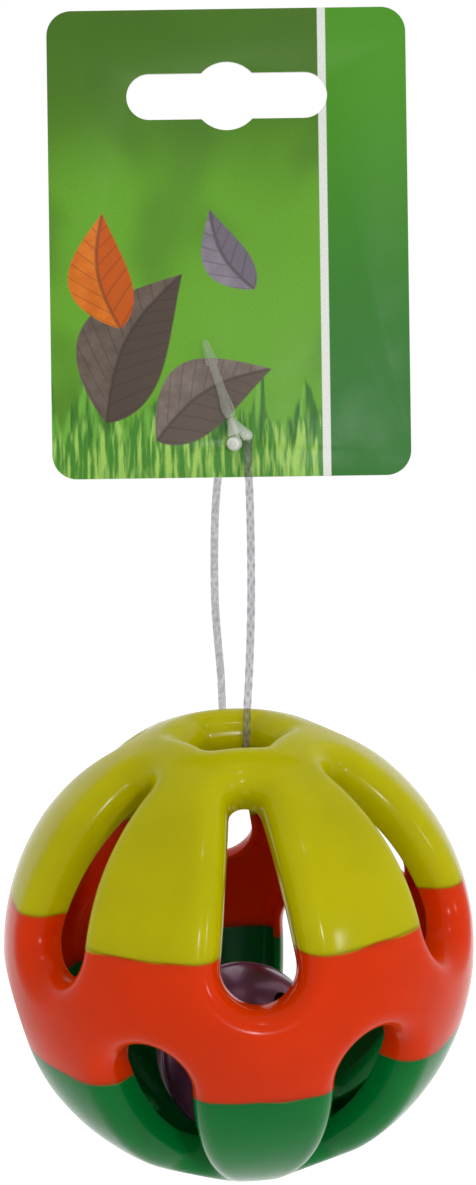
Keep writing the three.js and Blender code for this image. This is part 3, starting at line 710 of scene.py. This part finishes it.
class BallMould:
    """The ball's shape, from its settings: places on it, the lip's section and one slot's cell."""

    side_steps = 26
    narrow_steps = 20
    wide_steps = 32
    outer_rings = 9
    lip_rings = 9
    inner_rings = 6
    rim_round = 0.35 * MM

    def __init__(self, ball):
        self.b = ball
        self.half = math.pi / ball.slots

    def direction(self, azimuth, latitude):
        """A direction from the ball's centre, from the front round to the right and up."""
        flat = math.cos(latitude)
        return np.array([flat * math.sin(azimuth), -flat * math.cos(azimuth), math.sin(latitude)])

    def beside_meridian(self, across, along):
        """A direction from places on the surface: along a slot's meridian, then square to it."""
        sideways = across / self.b.radius
        up = self.direction(0.0, along / self.b.radius)
        return up * math.cos(sideways) + np.array([math.sin(sideways), 0.0, 0.0])

    def pole_reach(self, azimuth, out):
        """Distance along the surface from the pole to the flat-sided hole's edge, moved out."""
        sector = 2 * self.half
        flat = self.b.pole_hole_half + out
        corner = self.b.pole_hole_corner + out
        turn = abs(azimuth - sector * round(azimuth / sector))
        if flat * math.tan(turn) <= (flat - corner) * math.tan(self.half):
            return flat / math.cos(turn)
        centre = (flat - corner) / math.cos(self.half)
        off = self.half - turn
        return centre * math.cos(off) + math.sqrt(corner**2 - (centre * math.sin(off)) ** 2)

    def top_latitude(self, azimuth):
        """Where a slot's cell ends toward the pole."""
        reach = self.pole_reach(azimuth, self.b.lip_round + self.b.pole_ridge)
        return math.pi / 2 - reach / self.b.radius

    def meet_latitude(self, azimuth):
        """Where the two rows of cells meet, a wave round the equator."""
        return -self.b.meet_height * math.cos(self.b.slots * azimuth)

    def section(self):
        """The lip's rings: how far out from the cut edge, how far toward the cell's edge, and radius."""
        b = self.b
        lip_end = b.radius - b.lip_reach
        centre = b.radius - b.lip_round
        inner_round = b.lip_round - b.wall
        rings = []
        for i in range(self.outer_rings):
            rings.append((b.lip_round, 1 - i / self.outer_rings, b.radius))
        for i in range(self.lip_rings + 1):
            turn = math.pi / 2 * (1 - i / self.lip_rings)
            out = b.lip_round * (1 - math.cos(turn))
            rings.append((out, 0.0, centre + b.lip_round * math.sin(turn)))
        rim = self.rim_round
        slope = rim * (1 - math.sqrt(0.5))
        rim_half = ((0.0, rim), (slope, slope), (rim, 0.0))
        rings += [(out, 0.0, lip_end + rise) for out, rise in rim_half]
        rings += [(b.wall - out, 0.0, lip_end + rise) for out, rise in reversed(rim_half)]
        for i in range(self.inner_rings + 1):
            turn = math.pi / 2 * i / self.inner_rings
            out = b.lip_round - inner_round * math.cos(turn)
            rings.append((out, 0.0, centre + inner_round * math.sin(turn)))
        for i in range(self.inner_rings):
            rings.append((b.lip_round, (i + 1) / self.inner_rings, b.radius - b.wall))
        return rings

    def slot_outline(self):
        """Round an upper slot: the cell's edge, the slot's cut edge and its normal, point by point."""
        b = self.b
        wide = b.slot_to_equator + b.slot_wide_half
        narrow = b.slot_to_equator + b.slot_length - b.slot_narrow_half
        taper = math.asin((b.slot_wide_half - b.slot_narrow_half) / (narrow - wide))
        low = self.meet_latitude(self.half)
        high = self.top_latitude(self.half)
        points = []

        def mark(share, turn, azimuth, latitude):
            # The slot's edge lies on rounds whose centres run from the wide end's to the narrow end's.
            normal = np.array([math.cos(turn), math.sin(turn)])
            radius = b.slot_wide_half + (b.slot_narrow_half - b.slot_wide_half) * share
            centre = np.array([0.0, wide + (narrow - wide) * share])
            points.append((self.direction(azimuth, latitude), centre + normal * radius, normal))

        for i in range(self.side_steps):
            share = i / self.side_steps
            mark(share, taper, self.half, low + (high - low) * share)
        for i in range(self.narrow_steps):
            share = i / self.narrow_steps
            azimuth = self.half * (1 - 2 * share)
            turn = taper + (math.pi - 2 * taper) * share
            mark(1.0, turn, azimuth, self.top_latitude(azimuth))
        for i in range(self.side_steps):
            share = 1 - i / self.side_steps
            mark(share, math.pi - taper, -self.half, low + (high - low) * share)
        for i in range(self.wide_steps):
            share = i / self.wide_steps
            azimuth = self.half * (2 * share - 1)
            turn = math.pi - taper + (math.pi + 2 * taper) * share
            mark(0.0, turn, azimuth, self.meet_latitude(azimuth))
        return points

    def cell(self):
        """The mesh of one upper slot's cell with its share of the pole's ring."""
        points = []
        section = self.section()
        outline = self.slot_outline()
        for out, to_edge, radius in section:
            for edge, place, normal in outline:
                lip = self.beside_meridian(*(place + normal * out))
                way = lip + (edge - lip) * to_edge
                points.append(way / np.linalg.norm(way) * radius)
        faces = strips(len(section), len(outline))
        pole_start = len(points)
        pole_steps = self.narrow_steps + 1
        for out, to_edge, radius in section:
            for i in range(pole_steps):
                azimuth = self.half * (2 * i / self.narrow_steps - 1)
                reach = self.pole_reach(azimuth, out + to_edge * self.b.pole_ridge)
                points.append(self.direction(azimuth, math.pi / 2 - reach / self.b.radius) * radius)
        faces += strips(len(section), pole_steps, pole_start, closed=False)
        return plain_mesh("slot_cell", points, faces)


def slot_rows_tree():
    """A Geometry Nodes tree that sets a slot's cell round the axis, mirrors the row and closes it."""
    tree = bpy.data.node_groups.new("slot_rows_round_the_ball", "GeometryNodeTree")
    add = partial(add_node, tree)
    identifiers = {}
    for name, kind in (
        ("Cell", "NodeSocketGeometry"),
        ("Slots in a Row", "NodeSocketInt"),
        ("Weld Distance", "NodeSocketFloat"),
        ("Plastic", "NodeSocketMaterial"),
    ):
        socket = tree.interface.new_socket(name, in_out="INPUT", socket_type=kind)
        identifiers[name] = socket.identifier
    tree.interface.new_socket("Ball", in_out="OUTPUT", socket_type="NodeSocketGeometry")
    given = add("NodeGroupInput")
    slots = given["Slots in a Row"]
    step = add(MATH, (2 * math.pi, slots), operation="DIVIDE")[0]
    rotations = []
    for steps in (add("GeometryNodeInputIndex")[0], 0.5):
        turn = add(MATH, (steps, step), operation="MULTIPLY")[0]
        euler = add("ShaderNodeCombineXYZ", {"Z": turn})[0]
        rotations.append(add("FunctionNodeEulerToRotation", (euler,))[0])
    round_turn, half_step = rotations
    places = add("GeometryNodeMeshLine", {"Count": slots, "Offset": (0.0, 0.0, 0.0)})["Mesh"]
    cells = {"Points": places, "Instance": given["Cell"], "Rotation": round_turn}
    row = add("GeometryNodeInstanceOnPoints", cells)[0]
    upper = add("GeometryNodeRealizeInstances", {"Geometry": row})[0]
    mirror = {"Geometry": upper, "Rotation": half_step, "Scale": (1.0, 1.0, -1.0)}
    lower = add("GeometryNodeTransform", mirror)[0]
    lower = add("GeometryNodeFlipFaces", {"Mesh": lower})[0]
    both = add("GeometryNodeJoinGeometry", {"Geometry": [upper, lower]})[0]
    weld = {"Geometry": both, "Distance": given["Weld Distance"]}
    closed = add("GeometryNodeMergeByDistance", weld)[0]
    plain = add("GeometryNodeRealizeInstances", {"Geometry": closed})[0]
    dressed = add("GeometryNodeSetMaterial", {"Geometry": plain, "Material": given["Plastic"]})[0]
    add("NodeGroupOutput", {"Ball": dressed})
    return tree, identifiers


def slice_between(name, mesh, low, high):
    """Cuts a mesh square to Z, keeps what lies between two heights and closes the cuts."""
    shape = bmesh.new()
    shape.from_mesh(mesh)
    bmesh.ops.recalc_face_normals(shape, faces=shape.faces)
    for face in shape.faces:
        face.smooth = True
    for height, above in ((low, True), (high, False)):
        if height is None:
            continue
        cut = bmesh.ops.bisect_plane(
            shape,
            geom=shape.verts[:] + shape.edges[:] + shape.faces[:],
            dist=WELD / 10,
            plane_co=(0.0, 0.0, height),
            plane_no=(0.0, 0.0, 1.0),
            clear_inner=above,
            clear_outer=not above,
        )["geom_cut"]
        edges = [e for e in cut if isinstance(e, bmesh.types.BMEdge)]
        caps = bmesh.ops.holes_fill(shape, edges=edges, sides=0)["faces"]
        for edge in edges:
            edge.smooth = False
        for face in caps:
            face.smooth = False
        bmesh.ops.triangulate(shape, faces=caps)
    bmesh.ops.recalc_face_normals(shape, faces=shape.faces)
    part = bpy.data.meshes.new(name)
    shape.to_mesh(part)
    shape.free()
    store(part, "polar_height", [vertex.co.z for vertex in part.vertices])
    return part


def store(mesh, name, values):
    """Stores one number for each of a mesh's points."""
    attribute = mesh.attributes.new(name, "FLOAT", "POINT")
    attribute.data.foreach_set("value", np.array(values, np.float32))


class BELLBALL_OT_ball(bpy.types.Operator):
    """Make the slotted ball in its three colours"""

    bl_idname = "bell_ball.ball"
    bl_label = "Ball"

    def execute(self, context):
        ball = context.scene.bell_ball.ball
        plastic = three_shot_polypropylene(ball)
        whole = object_of("ball_whole", BallMould(ball).cell())
        tree, identifiers = slot_rows_tree()
        modifier = whole.modifiers.new("slot rows", "NODES")
        modifier.node_group = tree
        modifier[identifiers["Slots in a Row"]] = ball.slots
        modifier[identifiers["Weld Distance"]] = 0.001 * MM
        modifier[identifiers["Plastic"]] = plastic
        mesh = plain_copy(whole, "ball_whole")
        # The pole tips to the front, then to the left, after the ball's own turn.
        place = (
            Matrix.Translation(BALL_CENTRE)
            @ Matrix.Rotation(-ball.lean, 4, "Y")
            @ Matrix.Rotation(ball.tilt, 4, "X")
            @ Matrix.Rotation(ball.turn, 4, "Z")
        )
        for name, node, slot, low, high in (
            ("ball_crown", "shell_crown", "yellow_plastic", ball.band_half, None),
            ("ball_band", "shell_band", "orange_plastic", -ball.band_half, ball.band_half),
            ("ball_base", "shell_base", "green_plastic", None, -ball.band_half),
        ):
            part = slice_between(name, mesh, low, high)
            part.transform(place)
            piece_of(name, part, "ball", node, slot, plastic)
        return {"FINISHED"}


# Bell

DOME_SIDES = 96
DOME_STEPS = 30
INSIDE_STEPS = 26


def upper_half(bell):
    """The half with the shank: a dome drawn in at its rim to fit the other half."""
    inside = bell.radius - bell.wall
    rim_outer = bell.seam_radius - bell.wall - bell.clearance
    rim_inner = rim_outer - bell.wall
    shoulder = bell.seam_height / 2 + bell.clearance + bell.wall / 2
    rim_end = -bell.seam_height / 4
    start = math.degrees(math.asin(shoulder / bell.radius))
    end = math.degrees(math.asin((shoulder + bell.wall) / inside))
    profile = [
        *arc(bell.radius, 90, start, DOME_STEPS),
        (rim_outer, shoulder),
        (rim_outer, rim_end),
        (rim_inner, rim_end),
        (rim_inner, shoulder),
        *arc(inside, end, 90, INSIDE_STEPS),
    ]
    return lathe("bell_upper", profile, DOME_SIDES)


def lower_half(bell):
    """The half with the slits: a dome with a rolled rim."""
    inside = bell.radius - bell.wall
    top = bell.seam_height / 2
    roll = bell.wall / 2
    start = -math.degrees(math.asin((top + roll) / bell.radius))
    end = -math.degrees(math.asin((top + roll) / inside))
    seam = bell.seam_radius - roll
    profile = [
        *arc(bell.radius, -90, start, DOME_STEPS),
        *arc(roll, -60, 60, 6, (seam, -top / 2)),
        *arc(roll, -20, 160, 8, (seam, top - roll)),
        (seam - roll, -top),
        *arc(inside, end, -90, INSIDE_STEPS),
    ]
    # Two slits that cross at the pole.
    slits = [(slit_prism(bell, math.radians(turn)), "DIFFERENCE") for turn in (45, -45)]
    return boolean_of("bell_lower", lathe("bell_lower", profile, DOME_SIDES), slits)


def slit_prism(bell, turn):
    """A long slit with round ends, as a prism through the lower half."""
    reach = bell.radius * math.sin(bell.slit_reach)
    meet = math.asin(bell.slit_width / 2 / bell.slit_end)
    steps = 24
    outline = []
    for side in (0, math.pi):
        for i in range(steps + 1):
            a = side - math.pi + meet + (2 * math.pi - 2 * meet) * i / steps
            x = reach * math.cos(side) + bell.slit_end * math.cos(a)
            outline.append((x, bell.slit_end * math.sin(a)))
    around = len(outline)
    cosine, sine = math.cos(turn), math.sin(turn)
    flat = [(x * cosine - y * sine, x * sine + y * cosine) for x, y in outline]
    points = [(x, y, z) for z in (-2 * bell.radius, -bell.seam_height) for x, y in flat]
    faces = [list(range(around)), list(range(around, 2 * around)), *strips(2, around)]
    return welded(plain_mesh("slit_prism", points, faces), WELD)


def shank_wire(bell):
    """The shank: a closed round wire, up one leg, round the bend and down the other leg."""
    foot = bell.radius - bell.wall / 2
    crown = bell.radius + bell.clearance + bell.shank_leg
    bend = bell.shank_radius
    way = [Vector((-bend, 0, foot))]
    for a in np.linspace(math.pi, 0, 25):
        way.append(Vector((bend * math.cos(a), 0, crown + bend * math.sin(a))))
    way.append(Vector((bend, 0, foot)))
    sides = 16
    radius = bell.shank_wire / 2
    across = Vector((0, 1, 0))
    points = []
    for i, point in enumerate(way):
        run = (way[min(i + 1, len(way) - 1)] - way[max(i - 1, 0)]).normalized()
        up = run.cross(across).normalized()
        for k in range(sides):
            a = 2 * math.pi * k / sides
            points.append(point + (across * math.cos(a) + up * math.sin(a)) * radius)
    ends = [list(range(sides)), list(range(len(points) - sides, len(points)))]
    faces = ends + strips(len(way), sides)
    return welded(plain_mesh("bell_shank_wire", points, faces), WELD)


class BELLBALL_OT_bell(bpy.types.Operator):
    """Make the jingle bell's two halves, its shank and its pea"""

    bl_idname = "bell_ball.bell"
    bl_label = "Bell"

    def execute(self, context):
        bell = context.scene.bell_ball.bell
        lacquer = lacquered_steel(bell)
        plate = plated_steel(bell)
        # The bell's own Z points along its shank, back and to the left.
        way = Vector((-math.sin(bell.shank_turn), math.cos(bell.shank_turn), 0.0))
        place = Matrix.Translation(BELL_CENTRE) @ turned(way)
        for name, mesh, node, slot, material in (
            ("bell_dome", upper_half(bell), "bell_upper_shell", "purple_lacquer", lacquer),
            ("bell_mouth", lower_half(bell), "bell_lower_shell", "purple_lacquer", lacquer),
            ("bell_shank_wire", shank_wire(bell), "bell_shank", "bright_steel", plate),
        ):
            mesh.transform(place)
            piece_of(name, smooth(mesh), "bell", node, slot, material)
        pea = ball_of("bell_pea_ball", (PEA_HIGH - PEA_LOW).z / 2, 32, PEA_CENTRE)
        piece_of("bell_pea_ball", smooth(pea), "pea", "bell_pea", "bright_steel", plate)
        return {"FINISHED"}


# Cord and lock

LOCK_PIECES = ("lock_pin_body", "lock_socket_body")


def cord_route():
    """The cord's points in millimetres, from the lock's ear round the ball's bar and up to the pin."""
    ball = BALL_CENTRE.z / MM
    hole = CORD_HOLE.z / MM
    return [
        (2.48, -2.3, hole + 0.73),
        (2.55, -2.3, hole - 1.7),
        (2.65, -2.1, hole - 5),
        (2.8, -2.1, hole - 11),
        (2.75, -2.5, ball + 55),
        (2.3, -3.2, ball + 44),
        (1.9, -3.8, ball + 38),
        (1.75, -4.1, ball + 34),
        (1.55, -3.9, ball + 31.2),
        (1.2, -2.6, ball + 29.1),
        (0.5, 0, ball + 28.2),
        (-0.4, 3.6, ball + 27.5),
        (-1.2, 7, ball + 27.2),
        (-1.8, 9.8, ball + 27.8),
        (-2.05, 11.4, ball + 29.7),
        (-2.1, 11.8, ball + 32.3),
        (-2.15, 11.4, ball + 35.6),
        (-2.3, 10, ball + 42),
        (-3.1, 7.2, ball + 55),
        (-2.7, 4.4, hole - 9),
        (-1.9, 3.2, hole - 3.4),
        (-0.8, 2.6, hole - 1),
        (0, 1.6, hole - 0.1),
        (0.2, 0.4, hole),
        (0.2, -0.75, hole),
    ]


def braid(path, cord):
    """A tube along a path whose surface is a braid of strands laid both ways, over and under."""
    sides = 36
    # Added to the strands that run the other way, so that their numbers stay above nought.
    shift = 1000
    runs = np.gradient(path, axis=0)
    runs /= np.linalg.norm(runs, axis=1)[:, None]
    up = np.cross(runs[0], [1.0, 0.0, 0.0])
    up /= np.linalg.norm(up)
    along = np.concatenate([[0], np.cumsum(np.linalg.norm(np.diff(path, axis=0), axis=1))])
    share = np.arange(sides) / sides
    cosines = np.cos(2 * math.pi * share)[:, None]
    sines = np.sin(2 * math.pi * share)[:, None]
    points = []
    heights = []
    fibres = []
    for middle, run, far in zip(path, runs, along / cord.lay):
        up = up - run * np.dot(up, run)
        up /= np.linalg.norm(up)
        across = np.cross(run, up)
        first = cord.strands * (share + far)
        second = cord.strands * (share - far) + shift
        height_first = strand(first, second)
        height_second = strand(second, first + 1)
        height = np.maximum(height_first, height_second)
        radius = cord.diameter / 2 - cord.relief * (1 - height)
        points.append(middle + radius[:, None] * (cosines * up + sines * across))
        heights.append(height)
        fibres.append(np.where(height_first > height_second, first, second) % shift)
    points = np.concatenate(points)
    faces = strips(len(path), sides)
    faces.append(list(range(sides))[::-1])
    faces.append(list(range(len(points) - sides, len(points))))
    mesh = plain_mesh("cord_braid", points, faces)
    store(mesh, "strand_height", np.concatenate(heights))
    store(mesh, "strand_run", np.concatenate(fibres))
    mesh.shade_smooth()
    return mesh


def strand(own, other):
    """The height of a strand's round back, from 0 to 1, over and under the other way's strands."""
    across = 2 * (own - np.floor(own)) - 1
    back = np.sqrt(1 - 0.9 * across**2)
    sign = np.where(np.floor(own) % 2 == 0, 1.0, -1.0)
    return 0.55 * back + 0.225 * (1 + sign * np.sin(math.pi * other))


class BELLBALL_OT_cord(bpy.types.Operator):
    """Make the braided cord loop"""

    bl_idname = "bell_ball.cord"
    bl_label = "Cord"

    def execute(self, context):
        cord = context.scene.bell_ball.cord
        route = [tuple(x * MM for x in point) for point in cord_route()]
        ring_spacing = 0.13 * MM
        path = centripetal_curve(route, ring_spacing)
        yarn = braided_yarn(cord)
        piece = piece_of("cord_braid", braid(path, cord), "hang_loop", "hang_cord", "nylon_cord", yarn)
        return {"FINISHED"}


def pin_mesh(lock):
    """The pin: a neck in the socket with a bulb under it, a tapering stem and an arrow."""
    shoulder = lock.socket_foot + lock.socket_length + lock.clearance
    base = lock.pin_length - lock.arrow_length
    tip = lock.tip_radius
    barb = 0.16 * MM
    barrel = lock.barrel_radius
    at = lock.barrel_height
    # From the barrel's thickest ring to where it starts to thin, and to where it is nearly the stem.
    swell = 0.48 * MM
    taper = 2.72 * MM
    lean = math.degrees(math.atan2(lock.arrow_radius - tip, lock.arrow_length - tip - barb))
    profile = [
        (0.0, lock.bulb_rise + lock.bulb / 2),
        (lock.neck_radius, lock.bulb_rise + lock.bulb / 2),
        (lock.neck_radius, shoulder),
        (lock.mouth_radius - barb / 2, shoulder),
        (lock.mouth_radius, shoulder + barb / 2),
        (barrel * 0.97, at - swell),
        (barrel, at),
        (barrel * 0.97, at + swell),
        (lock.stem_radius * 1.12, at + taper),
        (lock.stem_radius, base - barb),
        (lock.stem_radius + barb / 2, base - barb / 4),
        (lock.arrow_radius - barb, base),
        *arc(barb, -90, lean, 6, (lock.arrow_radius - barb, base + barb)),
        *arc(tip, lean, 90, 8, (0.0, lock.pin_length - tip)),
    ]
    bulb = ball_of("pin_bulb", lock.bulb, 32, (-lock.bulb_side, 0.0, lock.bulb_rise))
    return boolean_of("lock_pin_body", lathe("pin_stem", profile, 40), [(bulb, "UNION")])


def socket_mesh(lock):
    """The socket: a flare with a bore, and an ear at its side that is moulded round the cord's end."""
    foot = lock.socket_foot
    top = foot + lock.socket_length
    lip = 0.2 * MM
    mouth = lock.mouth_radius
    flare = [
        (0.0, foot),
        *arc(lip, -90, 30, 5, (lock.socket_radius - lip, foot + lip)),
        (lock.socket_radius * 0.7, foot + lock.socket_length / 2),
        (mouth, top - lip / 2),
        (mouth - lip / 2, top),
        (0.0, top),
    ]
    ear_centre = Vector((lock.ear_out, 0.0, lock.ear_rise))
    ear = ball_of("socket_ear", lock.ear_radius, 24, ear_centre)
    # The web that runs down from the flare to the ear.
    start = Vector((mouth * 0.4, 0.0, foot + lock.socket_length * 0.62))
    way = ear_centre - start
    web = rod("socket_web", mouth * 0.8, lock.ear_radius * 0.98, 0.0, way.length)
    web.transform(Matrix.Translation(start) @ turned(way))
    hollow = lock.neck_radius + lock.clearance
    bore = rod("socket_bore", hollow, hollow, foot - MM, top + MM)
    # The bulb's seat, a clearance wider than the bulb.
    bulb_centre = (-lock.bulb_side, 0.0, lock.bulb_rise)
    seat = ball_of("socket_seat", lock.bulb + lock.clearance, 32, bulb_centre)
    return boolean_of(
        "lock_socket_body",
        lathe("socket_flare", flare, 48),
        [(ear, "UNION"), (web, "UNION"), (bore, "DIFFERENCE"), (seat, "DIFFERENCE")],
    )


class BELLBALL_OT_lock(bpy.types.Operator):
    """Make the snap lock's pin and socket"""

    bl_idname = "bell_ball.lock"
    bl_label = "Snap Lock"

    def execute(self, context):
        lock = context.scene.bell_ball.lock
        nylon = natural_nylon(lock)
        at = Vector((lock.side, CARD_LOW.y - lock.reach, CORD_HOLE.z))
        place = Matrix.Translation(at) @ Matrix.Rotation(-lock.lean, 4, "Y")
        for name, mesh, node in (
            (LOCK_PIECES[0], pin_mesh(lock), "lock_pin"),
            (LOCK_PIECES[1], socket_mesh(lock), "lock_socket"),
        ):
            mesh.transform(place)
            piece_of(name, smooth(mesh, 50), "hang_loop", node, "clear_nylon", nylon)
        return {"FINISHED"}


# Card


def round_outline(arcs, steps):
    """A closed outline of arcs: (centre x, centre z, radius, start degrees, end degrees)."""
    outline = []
    for x, z, radius, start, end in arcs:
        for i in range(steps + 1):
            a = math.radians(start + (end - start) * i / steps)
            outline.append((x + radius * math.cos(a), z + radius * math.sin(a)))
    return outline


class BELLBALL_OT_card(bpy.types.Operator):
    """Make the printed header card with its hang slot and cord hole"""

    bl_idname = "bell_ball.card"
    bl_label = "Header Card"

    def execute(self, context):
        card = context.scene.bell_ball.card
        left, right = CARD_LOW.x, CARD_HIGH.x
        low, high = CARD_LOW.z, CARD_HIGH.z
        c = card.corner
        outside = round_outline(
            (
                (right - c, low + c, c, -90, 0),
                (right - c, high - c, c, 0, 90),
                (left + c, high - c, c, 90, 180),
                (left + c, low + c, c, 180, 270),
            ),
            14,
        )
        middle = -card.lobe_radius
        end = card.slot_height / 2
        arm = card.slot_width / 2 - end
        meet = math.degrees(math.asin(end / card.lobe_radius))
        slot = round_outline(
            (
                (arm, middle, end, -90, 90),
                (0, middle, card.lobe_radius, meet, 180 - meet),
                (-arm, middle, end, 90, 270),
                (0, middle, card.lobe_radius, 180 + meet, 360 - meet),
            ),
            20,
        )
        hole = round_outline(((card.hole_side, -card.hole_drop, card.hole_radius, 0, 351),), 39)
        curve = bpy.data.curves.new("card_outline", "CURVE")
        curve.dimensions = "2D"
        curve.fill_mode = "BOTH"
        # The board's cut edges are a little rounded by the die.
        die_round = 0.05 * MM
        curve.bevel_depth = die_round
        curve.bevel_resolution = 2
        curve.offset = -die_round
        curve.extrude = (CARD_HIGH.y - CARD_LOW.y) / 2 - die_round
        for outline in (outside, slot, hole):
            spline = curve.splines.new("POLY")
            spline.points.add(len(outline) - 1)
            spline.use_cyclic_u = True
            for point, (x, z) in zip(spline.points, outline):
                point.co = (x, z, 0.0, 1.0)
        mesh = plain_copy(object_of("card_flat", curve), "card_board")
        mesh.transform(Matrix.Rotation(math.radians(90), 4, "X"))
        smooth(welded(mesh, 0.002 * MM), 40)
        # The front is printed, and the rest is bare board.
        for face in mesh.polygons:
            face.material_index = 0 if face.normal.y < -0.9 else 1
        print_side = varnished_print(card, (left + right) / 2, low, high)
        board = bare_board(card)
        piece_of("card_board", mesh, "card", "header_card", "printed_card", print_side, board)
        return {"FINISHED"}


# Stage

IMAGE_SIZE = (476, 1185)
CAMERA_DISTANCE = 450 * MM
CAMERA_SIDE = 0.674 * MM
CAMERA_HEIGHT = -84.95 * MM
CAMERA_ROLL = math.radians(0.82)
FOCAL_PIXELS = 2810
LIGHT_LEVEL = 0.66


def area_light(name, place, aim, size, power):
    """A rectangular soft light at a place, aimed at a point."""
    lamp = bpy.data.lights.new(name, "AREA")
    lamp.shape = "RECTANGLE"
    lamp.size, lamp.size_y = size
    lamp.energy = power
    obj = object_of(name, lamp)
    obj.location = place
    obj.rotation_euler = (aim - place).to_track_quat("-Z", "Y").to_euler()


def seen_by_eye(add):
    """1 for a ray that the camera sees, straight, in gloss or through glass, and 0 for other light."""
    rays = add("ShaderNodeLightPath")
    seen = add(MATH, (rays["Is Camera Ray"], rays["Is Glossy Ray"]), operation="MAXIMUM")[0]
    return add(MATH, (seen, rays["Is Transmission Ray"]), operation="MAXIMUM")[0]


class BELLBALL_OT_stage(bpy.types.Operator):
    """Set the camera, the pale floor and the soft studio light"""

    bl_idname = "bell_ball.stage"
    bl_label = "Stage"

    def execute(self, context):
        scene = context.scene
        scene.view_settings.view_transform = "Standard"
        data = bpy.data.cameras.new("photo_camera")
        data.sensor_width = 36.0
        data.lens = FOCAL_PIXELS * data.sensor_width / max(IMAGE_SIZE)
        data.clip_start = 0.01
        data.clip_end = 20.0
        camera = object_of("photo_camera", data)
        camera.location = (CAMERA_SIDE, -CAMERA_DISTANCE, CAMERA_HEIGHT)
        level = Matrix.Rotation(math.pi / 2, 3, "X")
        roll = Matrix.Rotation(CAMERA_ROLL, 3, "Y")
        camera.rotation_euler = (roll @ level).to_euler()
        scene.camera = camera
        self.lights()
        self.surround(scene)
        self.floor(scene.bell_ball.stage)
        return {"FINISHED"}

    def lights(self):
        """Small lamps that put the photo's glints on the ball: degrees, metres and watts."""
        for name, azimuth, elevation, distance, size, power in (
            ("front_strip", 13, 6, 0.55, (0.018, 0.06), 0.65),
            ("right_softbox", 48, 5, 0.7, (0.045, 0.08), 0.55),
            ("top_lamp", 14, 48, 0.7, (0.025, 0.025), 0.25),
        ):
            turn, rise = math.radians(azimuth), math.radians(elevation)
            flat = math.cos(rise)
            way = Vector((flat * math.sin(turn), -flat * math.cos(turn), math.sin(rise)))
            place = BALL_CENTRE + way * distance
            area_light(name, place, BALL_CENTRE, size, power)

    def surround(self, scene):
        """A white room to the eye, and in gloss and glass, that lights the object softly."""
        world = bpy.data.worlds.new("white_room")
        scene.world = world
        world.use_nodes = True
        world.node_tree.nodes.clear()
        add = partial(add_node, world.node_tree)
        strength = add(MAP, (seen_by_eye(add), 0.0, 1.0, LIGHT_LEVEL, 1.0))["Result"]
        room = add("ShaderNodeBackground", {"Color": WHITE, "Strength": strength})[0]
        add("ShaderNodeOutputWorld", {"Surface": room})

    def floor(self, stage):
        """A wide pale floor that looks white and keeps the object's shadow."""
        material, add, place = new_material("pale_matt_floor")
        tint = mottled(add, place, stage.floor, linear("#e6e6e4"), most=0.04, size=20 * MM)
        matt = add("ShaderNodeBsdfDiffuse", {"Color": tint})[0]
        lift = add("ShaderNodeEmission", {"Color": WHITE, "Strength": 0.5})[0]
        lifted = add("ShaderNodeAddShader", (matt, lift))[0]
        add(OUTPUT, {"Surface": add(MIX_SHADER, (seen_by_eye(add), matt, lifted))[0]})
        level = CAD_BOX[0][2] - stage.floor_drop
        reach = 12.0
        signs = ((-1, -1), (1, -1), (1, 1), (-1, 1))
        corners = [(x * reach, y * reach, level) for x, y in signs]
        object_of("floor", plain_mesh("floor", corners, [[0, 1, 2, 3]]), material)


class BELLBALL_PT_panel(bpy.types.Panel):
    """The bell ball's sizes, colours and makers"""

    bl_idname = "BELLBALL_PT_panel"
    bl_label = "Bell Ball"
    bl_space_type = "VIEW_3D"
    bl_region_type = "UI"
    bl_category = "Bell Ball"

    def draw(self, context):
        settings = context.scene.bell_ball
        for title, group, maker in (
            ("Stage", settings.stage, "bell_ball.stage"),
            ("Cord", settings.cord, "bell_ball.cord"),
            ("Snap Lock", settings.lock, "bell_ball.lock"),
            ("Header Card", settings.card, "bell_ball.card"),
            ("Ball", settings.ball, "bell_ball.ball"),
            ("Bell", settings.bell, "bell_ball.bell"),
        ):
            box = self.layout.box()
            box.label(text=title)
            for key in group.__annotations__:
                box.prop(group, key)
            box.operator(maker)


CLASSES = (
    BallSettings,
    BellSettings,
    CordSettings,
    LockSettings,
    CardSettings,
    StageSettings,
    BellBallSettings,
    BELLBALL_OT_stage,
    BELLBALL_OT_cord,
    BELLBALL_OT_lock,
    BELLBALL_OT_card,
    BELLBALL_OT_ball,
    BELLBALL_OT_bell,
    BELLBALL_PT_panel,
)


def register():
    for each in CLASSES:
        bpy.utils.register_class(each)
    bpy.types.Scene.bell_ball = PointerProperty(type=BellBallSettings)


def unregister():
    del bpy.types.Scene.bell_ball
    for each in reversed(CLASSES):
        bpy.utils.unregister_class(each)


def main():
    register()
    bpy.ops.bell_ball.stage()
    bpy.ops.bell_ball.lock()
    bpy.ops.bell_ball.cord()
    bpy.ops.bell_ball.card()
    bpy.ops.bell_ball.ball()
    bpy.ops.bell_ball.bell()


if __name__ == "__main__":
    main()
